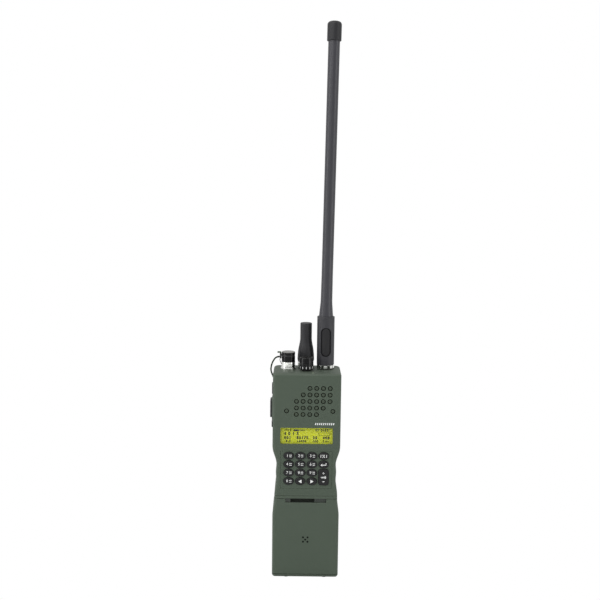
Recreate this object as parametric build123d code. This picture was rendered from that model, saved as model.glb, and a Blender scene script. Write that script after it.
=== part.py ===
from build123d import *
import math
import os

# Multiband handheld radio with a screw-on whip antenna and a slide-off battery pack.
# Millimetres. +Z is up, the face with the display looks towards -Y, and the origin is on the
# floor under the middle of the case.

# Case
case_width = 74.0
case_depth = 48.6
battery_inset = 0.4            # how much narrower the battery is than the radio, on each side
case_wall = 2.4
front_wall = 2.6
deck_wall = 3.0
deck_height = 230.2            # top face of the radio
deck_round = 2.5
front_corner_radius = 3.6
rear_corner_radius = 7.0
cover_depth = 6.7              # how far the rear cover reaches forward from the back face
gasket_thickness = 0.8
seam_height = 91.1             # where the battery meets the radio
plate_thickness = 3.2          # bottom plate of the radio, between battery and housing
slip_gap = 0.2                 # clearance of a lip or plug in the part it closes
fit_gap = 0.05                 # clearance of a shaft or screw in its own hole

# Waist of the case: how far the sides come in, and at which height, from the top down
waist = [(0.0, 150.0), (2.1, 139.2), (4.45, 130.5), (3.95, 120.5), (4.4, 112.0),
         (2.6, 97.0), (2.1, 84.5), (battery_inset, 70.0)]

# Display
display_width = 57.0
display_height = 18.3
display_z = 161.25
window_inset = 0.6             # window face behind the front face
window_flange = 1.6
window_flange_thickness = 0.9
display_module_size = (61.0, 5.4, 24.4)

# Keypad
keypad_half_width = 28.3
keypad_bottom = 102.4
keypad_top = 144.7
keypad_groove = 0.3
keypad_plate_thickness = 1.6
key_pitch_x = 12.7
key_pitch_z = 9.5
key_width = 11.2
key_height = 8.4
key_top_row_z = 139.35
key_proud = 1.2
key_gap = 0.3
key_flange = 0.35              # overlap behind the plate, beside the key
key_flange_low = 0.15          # the same above and below the key
key_flange_thickness = 0.8
key_travel = 1.0
rocker_key_height = 18.0
rocker_key_radius = 2.6
rocker_dome_z = 6.2            # the rocker key's domes, above and below its pivot
rocker_pin_radius = 0.7
key_stem_radius = 1.6
key_edge_round = 0.7
board_thickness = 1.6
keypad_board_y = -19.6         # front face of the keypad board
rocker_pivot_y = keypad_board_y - 1.7
ear_reach = 1.3                # how far a pivot ear reaches past the middle of its pin
dome_height = 0.6
key_dome_radius = 2.8
small_dome_radius = 1.8
keypad_peg_radius = 1.2

# Speaker ports
port_pitch = 7.25
port_x0 = -11.3
port_z0 = 214.3
port_columns = [(2, 5), (1, 5), (0, 5), (0, 4), (0, 3)]
lone_ports = [(-22.0, 189.1), (28.3, 189.1)]
port_radius = 2.7
baffle_middle = (3.2, 199.8)
baffle_size = (60.0, 38.0)
peg_radius = 1.25
port_gap = 0.1                 # baffle ring inside the port
spoke_width = 0.9
baffle_thickness = 1.4
peg_inset = 0.35
speaker_at = (6.8, 199.8)
speaker_radius = 18.5
speaker_depth = 11.0
speaker_rim = 3.0
magnet_radius = 12.0
cone_radii = (14.0, 5.0)
cone_depth = 3.0
microphone_size = (4.8, 4.2)   # radius and depth

# Buttons on the left side, all on one line
side_y = -3.5
side_board_x = -31.0           # outer face of the side switch board
side_board_z = 190.5
side_board_size = (15.0, 54.0)
side_peg_y = (-9.5, 2.5)
side_peg_z = (166.0, 215.0)
volume_pivot_x = side_board_x - 1.9
volume_dome_z = 4.2            # the volume rocker's domes, above and below its pivot
side_dome_radius = 2.4
side_dome_height = 0.8
side_peg_radius = 1.3
button_corner = 2.0
button_stem_radius = 1.5
ptt_z = (177.8, 198.0)
ptt_width = 13.0
ptt_proud = 3.2
ptt_travel = 1.5
guard_z = (174.4, 201.6)
guard_width = 18.0
guard_proud = 1.2
guard_corner = 4.0
guard_bevel = 0.8
ptt_ribs = 5
ptt_rib_pitch = 3.0
ptt_rib_half_length = 4.6
volume_z = (203.3, 215.7)
volume_width = 9.0
volume_proud = 1.4
volume_gap = 0.45
squelch_z = (165.9, 173.3)
squelch_width = 8.0
squelch_proud = 1.6
squelch_travel = 0.8
button_gap = 0.2
button_flange = 0.7
button_flange_thickness = 1.0

# What stands on the deck, as (x, y)
audio_at = (-20.8, 0.0)
knob_at = (-1.0, -5.7)
gps_at = (-1.5, 12.0)
antenna_at = (20.2, 5.7)

audio_flange_radius = 8.4
audio_flange_height = 2.6
audio_collar_radius = 7.6
audio_collar_top = 239.1
audio_barrel_radius = 5.9
audio_barrel_top = 246.4
audio_bore_radius = 4.7
cap_radius = 7.4
cap_top = 250.0
cap_crown = 2.2
keeper_z = 246.0
keeper_height = 1.6
keeper_thickness = 0.9
keeper_gap = 0.05
sleeve_z = (242.4, 248.6)      # sleeve that joins the keeper's ring and the lanyard
tongue_top = 250.0
tongue_reach = 3.6
port_depth = 14.0              # how far the audio port reaches below the deck
socket_ring = 3.0              # radius of the ring that its six contacts stand on

knob_radius = 7.7
knob_top_radius = 6.9
knob_bottom = 231.9
knob_top = 245.2
knob_flutes = 12
knob_flute_radius = 1.15
shaft_radius = 3.0
shaft_flat = 2.0
bush_wall = 1.6
switch_size = (17.0, 14.0, 11.0)
pointer_width = 1.0

antenna_seal_top = 231.2
antenna_collar_radius = 9.55
antenna_collar_top = 235.0
antenna_notches = 8
antenna_notch_radius = 2.6
antenna_notch_depth = 1.0
antenna_thread_radius = 6.0
antenna_thread_top = 233.6
antenna_pin_radius = 1.6
antenna_pin_top = 236.6
grip_radius = 9.6
grip_top = 289.0
grip_recess = (11.5, 32.4)
grip_recess_z = 261.0
grip_recess_depth = 0.8
whip_base_radius = 7.9
whip_radius = 6.2
whip_cone_top = 304.6
whip_top = 583.5
whip_lean = 0.84               # degrees, towards +X
tip_radius = 7.65
tip_length = 20.2
tip_cover = 6.0

gps_seal_top = 231.2
gps_collar_radius = 9.0
gps_notches = 16
gps_notch_radius = 0.9
gps_collar_top = 237.0
gps_foot_radius = 9.3
gps_foot_z = 239.0
gps_neck_radius = 6.45
gps_neck_z = 264.0
gps_top = 280.5
gps_thread_radius = 4.0
gps_thread_top = 234.6

# Lanyard of the dust cap: its points, from the cap down to the anchor on the left side
lanyard_radius = 0.65
lanyard_points = [(-30.35, 0.0, 244.2), (-34.0, 0.0, 244.2), (-37.3, -4.2, 240.6),
                  (-39.2, -7.2, 236.2), (-39.8, -8.6, 231.2), (-38.7, -7.2, 226.8),
                  (-37.95, -3.2, 224.0), (-37.95, 0.6, 223.2)]
anchor_at = (3.0, 222.7)       # y and z of the anchor screw

# Battery
base_top = 4.3                 # seam of the battery's bottom cap
base_round = 2.9
foot_height = 0.4
foot_radius = 4.0
foot_places = [(-21.0, -18.0), (21.0, -18.0), (0.0, 0.0), (-21.0, 18.0), (21.0, 18.0)]
seam_gap = 0.45                # groove along each seam that runs round the case
seam_depth = 0.9
battery_wall = 2.2
battery_top_wall = 2.6
latch_half_width = 22.4
latch_depth = 4.6
latch_bottom = 86.2
latch_block = (9.6, 22.2)      # left and right end of the sliding block
latch_stop = -16.8             # right end of the fixed block
latch_recess = 1.5
latch_ribs = 5
latch_rib_pitch = 1.9
latch_gap = 0.2
latch_chamber_end = 31.0
spring_radius = 1.1
spring_wire = 0.3
spring_turns = 9
spring_chamber_y = 1.4         # front of the spring's chamber, behind the face
vent_radius = 0.65
vent_spread = 2.5
vent_z = 44.2
contact_pitch = 6.0
contact_count = 5
contact_radius = 0.9
contact_y = 8.0
contact_well = (30.0, 7.0, 1.4)
contact_slot = (28.4, 4.8, 6.0)
cell_radius = 9.0
cell_length = 65.0
cell_pitch = (19.5, 19.4)
cell_button = (3.0, 0.8)       # radius and height of a cell's raised end
cell_floor = base_top + 2.6
battery_board_z = cell_floor + cell_length + cell_button[1] + 0.1
battery_board_x = 27.0
battery_board_y = (-14.0, 18.0)

# Screws
screw_radius = 1.25
screw_head_radius = 2.4
screw_head_height = 1.5
lug_radius = 3.0
lug_front = 8.0
cover_screw_z = [108.0, 160.0, 221.0]
cover_screw_length = 12.6
plate_screw_length = 9.0
plate_screw_y = (-10.0, 12.0)
plate_lug_length = 7.8
driver_recess = (1.1, 0.9)     # radius and depth

# Main board, behind the keypad and the speaker, with its chips as (x0, x1, z0, z1, height)
main_board_z = (103.0, 155.0, 210.0)
main_board_half_widths = (28.4, 31.5)
front_chips = [(-22, -12, 108, 118, 1.8), (4, 20, 106, 122, 1.6), (-20, -6, 198, 208, 2.4),
               (8, 24, 200, 208, 3.0)]
rear_socket = (-10, 10, 112, 118, 5.0)
shield_box = (-26, 26, 126, 194, 6.0)
shield_wall = 0.4

# Worked out from the above
half_width = case_width / 2
front_y = -case_depth / 2
back_y = case_depth / 2
inner_front_y = front_y + front_wall
split_y = back_y - cover_depth
cover_y = split_y + gasket_thickness
inner_back_y = back_y - case_wall
plate_top = seam_height + plate_thickness
inner_deck = deck_height - deck_wall
inner_side = half_width - case_wall
key_columns = [(i - 1.5) * key_pitch_x for i in range(4)]
key_rows = [key_top_row_z - i * key_pitch_z for i in range(4)]


def slab(x0, x1, y0, y1, z0, z1):
    size = (x1 - x0, y1 - y0, z1 - z0)
    return Pos((x0 + x1) / 2, (y0 + y1) / 2, (z0 + z1) / 2) * Box(*size)


def post(at, radius, z0, z1):
    return Pos(at[0], at[1], (z0 + z1) / 2) * Cylinder(radius, z1 - z0)


def pin_x(y, z, radius, x0, x1):
    return Pos((x0 + x1) / 2, y, z) * Rot(0, 90, 0) * Cylinder(radius, x1 - x0)


def pin_y(x, z, radius, y0, y1):
    return Pos(x, (y0 + y1) / 2, z) * Rot(90, 0, 0) * Cylinder(radius, y1 - y0)


# A flat outline given in X and Z, as thick as from y0 to y1
def along_y(outline, y0, y1):
    return extrude(Plane.XZ.offset(-y1) * outline, amount=y1 - y0)


def rounded_y(x, z, width, height, radius, y0, y1):
    return along_y(Pos(x, z) * RectangleRounded(width, height, radius), y0, y1)


# A rounded outline given in Y and Z, as thick as from x0 to x1
def rounded_x(y, z, width, height, radius, x0, x1):
    outline = Plane.YZ.offset(x0) * Pos(y, z) * RectangleRounded(width, height, radius)
    return extrude(outline, amount=x1 - x0)


# Points evenly round a centre, the first one turned from +X by a start angle in degrees
def around(at, radius, count, start=0.0):
    angles = [math.radians(start + 360 * i / count) for i in range(count)]
    return [(at[0] + radius * math.cos(a), at[1] + radius * math.sin(a)) for a in angles]


def mid(span):
    return (span[0] + span[1]) / 2


# A turned piece on a vertical axis, from (radius, z) points
def turned(at, points):
    profile = make_face(Polyline(*[(r, 0, z) for r, z in points], close=True))
    return Pos(at[0], at[1], 0) * revolve(profile, Axis.Z)


def in_from_side(z):
    for (low_inset, low_z), (high_inset, high_z) in zip(waist[1:], waist):
        if low_z <= z <= high_z:
            return low_inset + (high_inset - low_inset) * (z - low_z) / (high_z - low_z)
    return 0.0 if z > waist[0][1] else battery_inset


# The waisted case as one solid, from floor to above the deck, drawn in by an inset all round
def case_block(inset, y0, y1, front_radius, back_radius):
    low, high = -10.0, deck_height + 10.0
    right = [(half_width - inset - depth, z) for depth, z in waist]
    left = [(-x, z) for x, z in right]
    down, up = (0, -1), (0, 1)
    outline = Line((-right[0][0], high), (right[0][0], high))
    outline += Line((right[0][0], high), right[0])
    outline += Spline(*right, tangents=(down, down))
    outline += Line(right[-1], (right[-1][0], low))
    outline += Line((right[-1][0], low), (-right[-1][0], low))
    outline += Line((-right[-1][0], low), left[-1])
    outline += Spline(*reversed(left), tangents=(up, up))
    outline += Line(left[0], (left[0][0], high))
    block = along_y(make_face(outline), y0, y1)
    for y, radius in ((y0, front_radius), (y1, back_radius)):
        edges = block.edges().filter_by(lambda e: abs(e.center().Y - y) < 0.01)
        upright = edges.filter_by(lambda e: e.bounding_box().size.Z > 1.0)
        block = fillet(upright, radius)
    return block


def between(block, y0, y1, z0, z1):
    return block & slab(-half_width - 5, half_width + 5, y0, y1, z0, z1)


# Outer shape and hollow of the whole case, each made once
outer_block = case_block(0.0, front_y, back_y, front_corner_radius, rear_corner_radius)
inner_block = case_block(case_wall, inner_front_y, inner_back_y,
                         front_corner_radius - case_wall + 0.3, rear_corner_radius - case_wall)
gasket_block = case_block(0.4, front_y, back_y, front_corner_radius, rear_corner_radius)
plug_block = case_block(case_wall + slip_gap, inner_front_y + slip_gap, inner_back_y - slip_gap,
                        front_corner_radius - case_wall, rear_corner_radius - case_wall)
plug_hollow = case_block(case_wall + 2.4, inner_front_y + 2.2, inner_back_y - 2.2, 1.0, 3.0)
seam_block = case_block(seam_depth, front_y + seam_depth, back_y - seam_depth,
                        front_corner_radius - seam_depth, rear_corner_radius - seam_depth)


# A shallow groove all round the case, to be cut between two heights
def seam_groove(z0, z1):
    return slab(-case_width, case_width, -case_depth, case_depth, z0, z1) - seam_block


def radio_outer():
    block = between(outer_block, front_y - 1, back_y + 1, plate_top, deck_height)
    rim = block.edges().filter_by(lambda e: e.bounding_box().min.Z > deck_height - 0.01)
    return fillet(rim, deck_round)


radio_block = radio_outer()


def lug_x(z):
    return half_width - in_from_side(z) - case_wall - lug_radius + 0.6


lug_places = [(side * lug_x(z), z) for z in cover_screw_z for side in (-1, 1)]
plate_screw_places = [(side * (lug_x(plate_top) - 1.2), y) for side in (-1, 1) for y in plate_screw_y]


def port_places():
    places = []
    for row, (first, last) in enumerate(port_columns):
        for column in range(first, last + 1):
            places.append((port_x0 + column * port_pitch, port_z0 - row * port_pitch))
    return places + lone_ports


def key_outline(grow_x, grow_z):
    return Ellipse(key_width / 2 + grow_x, key_height / 2 + grow_z)


def rocker_outline(grow):
    width, height = key_width + 2 * grow, rocker_key_height + 2 * grow
    return RectangleRounded(width, height, rocker_key_radius + grow)


rocker_key_at = (key_columns[3], (key_rows[2] + key_rows[3]) / 2)
round_key_places = [(x, z) for z in key_rows for x in key_columns
                    if not (x == key_columns[3] and z < key_rows[1])]
lens_at = (6.2, front_y + deck_round + 1.2)
lens_radius = 1.3


def front_housing():
    hollow = between(inner_block, inner_front_y, inner_back_y + 1, plate_top - 1, inner_deck)
    body = between(radio_block, front_y - 1, split_y, plate_top - 1, deck_height + 1) - hollow
    guard = rounded_x(side_y, mid(guard_z), guard_width, guard_z[1] - guard_z[0], guard_corner,
                      -half_width - guard_proud, -half_width + 1.0)
    rim = guard.edges().filter_by(lambda e: e.center().X < -half_width - guard_proud + 0.01)
    body += chamfer(rim, guard_bevel)
    lug_foot = plate_top + 3.2
    lugs = [pin_y(x, z, lug_radius, lug_front, split_y) for x, z in lug_places]
    lugs += [post(at, lug_radius, lug_foot, lug_foot + plate_lug_length) for at in plate_screw_places]
    for lug in lugs:
        body += lug & between(inner_block, front_y, back_y, plate_top - 5, deck_height)
    for x in (-keypad_half_width + 0.9, keypad_half_width - 0.9):
        for z in (keypad_bottom - 0.6, keypad_top + 1.2):
            body += pin_y(x, z, keypad_peg_radius, inner_front_y - 0.5, keypad_board_y)
    cuts = [pin_y(x, z, screw_radius + fit_gap, lug_front + 1.5, split_y + 1) for x, z in lug_places]
    cuts += [post(at, screw_radius + fit_gap, plate_top, plate_top + 9.5) for at in plate_screw_places]
    cuts.append(rounded_y(0, display_z, display_width, display_height, 1.0, front_y - 1, inner_front_y + 1))
    keypad_span = (keypad_bottom, keypad_top)
    cuts.append(rounded_y(0, mid(keypad_span), 2 * keypad_half_width, keypad_top - keypad_bottom, 1.5,
                          front_y - 1, front_y + keypad_plate_thickness))
    reach_x = key_columns[3] + key_width / 2 + key_flange + 0.35
    high = key_rows[0] + key_height / 2 + key_flange + 0.3
    low = rocker_key_at[1] - rocker_key_height / 2 - key_flange - 0.6
    cuts.append(rounded_y(0, (high + low) / 2, 2 * reach_x, high - low, 1.5, front_y, inner_front_y + 1))
    for x, z in port_places():
        cuts.append(pin_y(x, z, port_radius, front_y - 1, inner_front_y + 1))
    for span, width, gap in ((ptt_z, ptt_width, button_gap), (volume_z, volume_width, volume_gap),
                             (squelch_z, squelch_width, button_gap)):
        cuts.append(rounded_x(side_y, mid(span), width + 2 * gap, span[1] - span[0] + 2 * gap,
                              button_corner + gap, -half_width - 5, -inner_side + 1))
    for at, radius in ((audio_at, audio_barrel_radius + 1.2), (knob_at, shaft_radius + bush_wall),
                       (gps_at, gps_thread_radius), (antenna_at, antenna_thread_radius),
                       (lens_at, lens_radius)):
        cuts.append(post(at, radius + fit_gap, inner_deck - 1, deck_height + 1))
    cuts.append(pin_x(*anchor_at, 1.0 + fit_gap, -half_width - 1, -inner_side + 1))
    for cut in cuts:
        body -= cut
    return body


def rear_cover():
    hollow = between(inner_block, split_y - 1, inner_back_y, plate_top - 1, inner_deck)
    body = between(radio_block, cover_y, back_y + 1, plate_top - 1, deck_height + 1) - hollow
    for x, z in lug_places:
        pillar = pin_y(x, z, lug_radius + 0.4, cover_y, inner_back_y + 0.5)
        body += pillar & between(inner_block, cover_y, back_y, plate_top, inner_deck)
        body += pin_y(x, z, lug_radius + 0.4, inner_back_y - 0.5, back_y - 0.6)
    for x, z in lug_places:
        body -= pin_y(x, z, screw_radius + fit_gap, cover_y - 1, back_y + 1)
        body -= pin_y(x, z, screw_head_radius + slip_gap, back_y - screw_head_height - 0.3, back_y + 1)
    return body


def cover_gasket():
    ring = between(gasket_block, split_y, cover_y, plate_top, deck_height - 1.0)
    ring -= between(inner_block, split_y - 1, cover_y + 1, plate_top - 1, inner_deck)
    for x, z in lug_places:
        eye = pin_y(x, z, lug_radius, split_y, cover_y)
        ring += eye & between(inner_block, split_y, cover_y, plate_top, inner_deck)
    for x, z in lug_places:
        ring -= pin_y(x, z, screw_radius + fit_gap, split_y - 1, cover_y + 1)
    return ring


# A pan-head screw along +Z with its head at the bottom, its driver recess cut in the head
def screw(length):
    body = Pos(0, 0, -screw_head_height / 2) * Cylinder(screw_head_radius, screw_head_height)
    body = fillet(body.edges().group_by(Axis.Z)[0], 0.4)
    body += Pos(0, 0, length / 2) * Cylinder(screw_radius, length)
    recess = extrude(Pos(0, 0, -screw_head_height) * RegularPolygon(driver_recess[0], 6),
                     amount=driver_recess[1])
    return body - recess


def case_screws():
    head_y = back_y - screw_head_height - 0.3
    head_z = seam_height + screw_head_height + 0.1
    screws = [Pos(x, head_y, z) * Rot(90, 0, 0) * screw(cover_screw_length) for x, z in lug_places]
    screws += [Pos(x, y, head_z) * screw(plate_screw_length) for x, y in plate_screw_places]
    return Compound(children=screws)


def contact_places():
    half = (contact_count - 1) / 2
    return [((i - half) * contact_pitch, contact_y) for i in range(contact_count)]


def bottom_plate():
    body = between(outer_block, front_y - 1, back_y + 1, seam_height, plate_top)
    body -= seam_groove(plate_top - seam_gap, plate_top + 1)
    plug = between(plug_block, front_y, back_y, plate_top - 0.5, plate_top + 3.0)
    body += plug - between(plug_hollow, front_y, back_y, plate_top, plate_top + 4.0)
    for at in plate_screw_places:
        body += plug & post(at, lug_radius, plate_top - 0.5, plate_top + 3.0)
    head_top = seam_height + screw_head_height + 0.1
    for at in plate_screw_places:
        body -= post(at, screw_radius + fit_gap, seam_height - 1, plate_top + 4)
        body -= post(at, screw_head_radius + slip_gap, seam_height - 1, head_top)
    for at in contact_places():
        body -= post(at, contact_radius + 0.6, seam_height - 1, plate_top + 1)
    return body


def contact_pins():
    pins = []
    tip_z = seam_height - contact_well[2] + fit_gap
    for x, y in contact_places():
        sleeve = post((x, y), contact_radius + 0.6 - fit_gap, seam_height, plate_top + 2.0)
        tip = post((x, y), contact_radius, tip_z, seam_height)
        pins.append(sleeve + fillet(tip.edges().group_by(Axis.Z)[0], 0.6))
    return Compound(children=pins)


def display_window():
    width, height = display_width - 2 * slip_gap, display_height - 2 * slip_gap
    pane = rounded_y(0, display_z, width, height, 0.9, front_y + window_inset, inner_front_y)
    width, height = display_width + 2 * window_flange, display_height + 2 * window_flange
    back = rounded_y(0, display_z, width, height, 1.5,
                     inner_front_y, inner_front_y + window_flange_thickness)
    return pane + back


def display_module():
    width, depth, height = display_module_size
    y0 = inner_front_y + window_flange_thickness + 0.1
    body = rounded_y(0, display_z, width, height, 1.0, y0, y0 + depth)
    bezel = rounded_y(0, display_z, display_width + 1.0, display_height + 1.0, 0.6, y0 - 1, y0 + 0.4)
    ribbon = slab(-9.0, 9.0, y0 + depth, y0 + depth + 0.4, display_z - height / 2, display_z + 4.0)
    return body - bezel + ribbon


def keypad_plate():
    plate_back = front_y + keypad_plate_thickness
    width = 2 * (keypad_half_width - keypad_groove)
    height = keypad_top - keypad_bottom - 2 * keypad_groove
    plate = rounded_y(0, mid((keypad_bottom, keypad_top)), width, height, 1.2, front_y, plate_back)
    for x, z in round_key_places:
        plate -= along_y(Pos(x, z) * key_outline(key_gap, key_gap), front_y - 1, plate_back + 1)
    return plate - along_y(Pos(*rocker_key_at) * rocker_outline(key_gap), front_y - 1, plate_back + 1)


def round_key(x, z):
    flange_y = front_y + keypad_plate_thickness + 0.1
    face_y = front_y - key_proud
    body = along_y(Pos(x, z) * key_outline(0, 0), face_y, flange_y)
    body = fillet(body.edges().filter_by(lambda e: e.center().Y < face_y + 0.01), key_edge_round)
    flange = key_outline(key_gap + key_flange, key_gap + key_flange_low)
    body += along_y(Pos(x, z) * flange, flange_y, flange_y + key_flange_thickness)
    stem_end = keypad_board_y - dome_height - key_travel - 0.1
    return body + pin_y(x, z, key_stem_radius, flange_y, stem_end)


def key_preset():
    x, z = rocker_key_at
    back = front_y + keypad_plate_thickness - 0.1
    face_y = front_y - key_proud
    body = along_y(Pos(x, z) * rocker_outline(0), face_y, back)
    body = fillet(body.edges().filter_by(lambda e: e.center().Y < face_y + 0.01), key_edge_round)
    body += slab(x - key_stem_radius, x + key_stem_radius, back - 0.5, rocker_pivot_y + 0.9,
                 z - 1.0, z + 1.0)
    return body + pin_x(rocker_pivot_y, z, rocker_pin_radius, x - 3.4, x + 3.4)


def keypad_board():
    board_back = keypad_board_y + board_thickness
    dome_y = keypad_board_y - dome_height
    height = keypad_top - keypad_bottom + 4.4
    solids = [rounded_y(0, mid((keypad_bottom, keypad_top)) + 0.3, 2 * keypad_half_width, height, 1.0,
                        keypad_board_y, board_back)]
    for x, z in round_key_places:
        solids.append(pin_y(x, z, key_dome_radius, dome_y, keypad_board_y))
    x, z = rocker_key_at
    for side in (-1, 1):
        solids.append(pin_y(x, z + side * rocker_dome_z, small_dome_radius, dome_y, keypad_board_y))
        near, far = sorted((x + side * 1.9, x + side * 3.3))
        ear = slab(near, far, rocker_pivot_y - ear_reach, keypad_board_y, z - ear_reach, z + ear_reach)
        solids.append(ear - pin_x(rocker_pivot_y, z, rocker_pin_radius + fit_gap, near - 1, far + 1))
    solids.append(slab(-8.0, 8.0, board_back, board_back + 2.4, 116.0, 121.0))
    return Compound(children=solids)


def speaker_baffle():
    plate_y = inner_front_y
    plate_back = plate_y + baffle_thickness
    plate = rounded_y(*baffle_middle, *baffle_size, 3.0, plate_y, plate_back)
    ring = Circle(port_radius - port_gap) - Circle(peg_radius)
    for turn in (90, 210, 330):
        ring -= Rot(0, 0, turn) * Pos(port_radius / 2, 0) * Rectangle(port_radius + 1, spoke_width)
    for x, z in port_places():
        plate += pin_y(x, z, peg_radius, front_y + peg_inset, plate_y + 0.2)
    return plate - [along_y(Pos(x, z) * ring, plate_y - 1, plate_back + 1) for x, z in port_places()]


def speaker():
    y0 = inner_front_y + baffle_thickness + fit_gap
    basket = 2 * speaker_rim
    body = turned((0, 0), [(0, 0), (speaker_radius, 0), (speaker_radius, speaker_rim),
                           (speaker_radius - 4.5, basket - 0.5), (magnet_radius, basket),
                           (magnet_radius, speaker_depth), (0, speaker_depth)])
    body -= Cone(*cone_radii, cone_depth, align=(Align.CENTER, Align.CENTER, Align.MIN))
    body += Pos(0, 0, 2.0) * Cylinder(4.0, 3.4)
    return Pos(speaker_at[0], y0, speaker_at[1]) * Rot(-90, 0, 0) * body


def microphone():
    x, z = lone_ports[0]
    radius, depth = microphone_size
    y0 = inner_front_y + baffle_thickness + fit_gap
    return pin_y(x, z, radius, y0, y0 + depth) - pin_y(x, z, 1.5, y0 - 1, y0 + 0.8)


def side_switch_board():
    solids = [rounded_x(side_y, side_board_z, *side_board_size, 1.0,
                        side_board_x, side_board_x + board_thickness)]
    dome_x = side_board_x - side_dome_height
    for z in (mid(ptt_z), mid(squelch_z)):
        solids.append(pin_x(side_y, z, side_dome_radius, dome_x, side_board_x))
    z = mid(volume_z)
    reach = ear_reach + 0.1
    for side in (-1, 1):
        near, far = sorted((side_y + side * 2.2, side_y + side * 3.6))
        ear = slab(volume_pivot_x - reach, side_board_x, near, far, z - reach, z + reach)
        solids.append(ear - pin_y(volume_pivot_x, z, rocker_pin_radius + fit_gap, near - 1, far + 1))
        solids.append(pin_x(side_y, z + side * volume_dome_z, side_peg_radius, dome_x, side_board_x))
    for y in side_peg_y:
        for z in side_peg_z:
            solids.append(pin_x(y, z, side_peg_radius, -inner_side, side_board_x))
    return Compound(children=solids)


def side_button(z_range, width, proud, travel):
    z, height = mid(z_range), z_range[1] - z_range[0]
    flange_x = -inner_side + 0.1
    body = rounded_x(side_y, z, width, height, button_corner, -half_width - proud, flange_x)
    body = fillet(body.edges().filter_by(lambda e: e.center().X < -half_width - proud + 0.01), 0.9)
    grow = button_gap + button_flange
    body += rounded_x(side_y, z, width + 2 * grow, height + 2 * grow, button_corner + grow, flange_x,
                      flange_x + button_flange_thickness)
    stem_end = side_board_x - side_dome_height - travel - 0.1
    return body + pin_x(side_y, z, button_stem_radius, flange_x, stem_end)


def ptt_button():
    body = side_button(ptt_z, ptt_width, ptt_proud, ptt_travel)
    low = mid(ptt_z) - (ptt_ribs - 1) / 2 * ptt_rib_pitch
    for i in range(ptt_ribs):
        body -= pin_y(-half_width - ptt_proud - 0.25, low + i * ptt_rib_pitch, 0.6,
                      side_y - ptt_rib_half_length, side_y + ptt_rib_half_length)
    return body


def squelch_button():
    return side_button(squelch_z, squelch_width, squelch_proud, squelch_travel)


def volume_rocker():
    z, height = mid(volume_z), volume_z[1] - volume_z[0]
    back = -inner_side - 0.3
    body = rounded_x(side_y, z, volume_width, height, button_corner, -half_width - volume_proud, back)
    body = fillet(body.edges().filter_by(lambda e: e.center().X < -half_width - volume_proud + 0.01), 0.6)
    body += slab(back - 0.5, volume_pivot_x + 0.9, side_y - 1.9, side_y + 1.9, z - 1.1, z + 1.1)
    return body + pin_y(volume_pivot_x, z, rocker_pin_radius, side_y - 3.7, side_y + 3.7)


def main_board():
    face = lug_front - board_thickness
    low, step, high = main_board_z
    narrow, wide = main_board_half_widths
    board = slab(-narrow, narrow, face, lug_front, low, high)
    board += slab(-wide, wide, face, lug_front, step, high)
    solids = [board] + [slab(x0, x1, face - rise, face, z0, z1) for x0, x1, z0, z1, rise in front_chips]
    x0, x1, z0, z1, rise = rear_socket
    return Compound(children=solids + [slab(x0, x1, lug_front, lug_front + rise, z0, z1)])


def rf_shield():
    face = lug_front - board_thickness
    x0, x1, z0, z1, rise = shield_box
    can = slab(x0, x1, face - rise, face, z0, z1)
    can = fillet(can.edges().group_by(Axis.Y)[0], 1.0)
    w = shield_wall
    return can - slab(x0 + w, x1 - w, face - rise + w, face + 1, z0 + w, z1 - w)


def channel_switch():
    width, depth, height = switch_size
    x, y = knob_at
    body = slab(x - width / 2, x + width / 2, y - depth / 2 - 0.5, y + depth / 2 - 0.5,
                inner_deck - height, inner_deck)
    body += post(knob_at, shaft_radius + bush_wall, inner_deck - 0.5, knob_bottom - 0.5)
    return body - post(knob_at, shaft_radius + fit_gap, inner_deck - height + 2.0, deck_height + 9)


def channel_shaft():
    shaft = post(knob_at, shaft_radius, inner_deck - switch_size[2] + 2.2, knob_top - 2.4)
    x, y = knob_at
    return shaft - slab(x - 5, x + 5, y + shaft_flat, y + 5, knob_bottom + 1.5, knob_top)


def channel_knob():
    at = knob_at
    skirt = knob_bottom + 6.6
    body = turned(at, [(0, knob_bottom), (knob_radius, knob_bottom), (knob_radius, skirt),
                       (knob_top_radius, knob_top), (0, knob_top)])
    body = fillet(body.edges().group_by(Axis.Z)[-1], 0.9)
    for place in around(at, knob_radius + 0.35, knob_flutes, 180 / knob_flutes):
        flute = post(place, knob_flute_radius, knob_bottom - 1, skirt - 0.6)
        body -= fillet(flute.edges().group_by(Axis.Z)[-1], 0.9)
    pointer = slab(at[0] - pointer_width / 2, at[0] + pointer_width / 2,
                   at[1] - knob_top_radius - 1, at[1] - 2.6, knob_top - 0.5, knob_top + 1)
    bore = post(at, shaft_radius + 0.03, knob_bottom - 1, knob_top - 2.3)
    hub = post(at, shaft_radius + 2.2, knob_bottom - 1, knob_bottom + 0.9)
    return body - pointer - bore - hub


def audio_connector():
    bottom, flange_top = deck_height - port_depth, deck_height + audio_flange_height
    top = audio_collar_top
    barrel, flange, collar = audio_barrel_radius, audio_flange_radius, audio_collar_radius
    body = turned(audio_at, [(audio_bore_radius, bottom), (barrel + 1.2, bottom),
                             (barrel + 1.2, deck_height), (flange, deck_height),
                             (flange, flange_top - 0.5), (flange - 0.5, flange_top),
                             (collar, flange_top), (collar, top - 2.6), (collar - 0.5, top - 2.2),
                             (collar, top - 1.8), (collar, top - 0.3), (collar - 0.3, top), (barrel, top),
                             (barrel, audio_barrel_top), (audio_bore_radius, audio_barrel_top)])
    for place in around(audio_at, collar + 0.2, 3, 30.0):
        body -= post(place, 1.1, flange_top, top - 2.9)
    return body


def audio_contacts():
    insert_top = audio_barrel_top - 2.5
    insert = post(audio_at, audio_bore_radius - fit_gap, deck_height - port_depth + 0.5, insert_top)
    pins = [post(place, 0.6, insert_top, audio_barrel_top - 0.6)
            for place in around(audio_at, socket_ring, 6)]
    return Compound(children=[insert] + pins)


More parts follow.
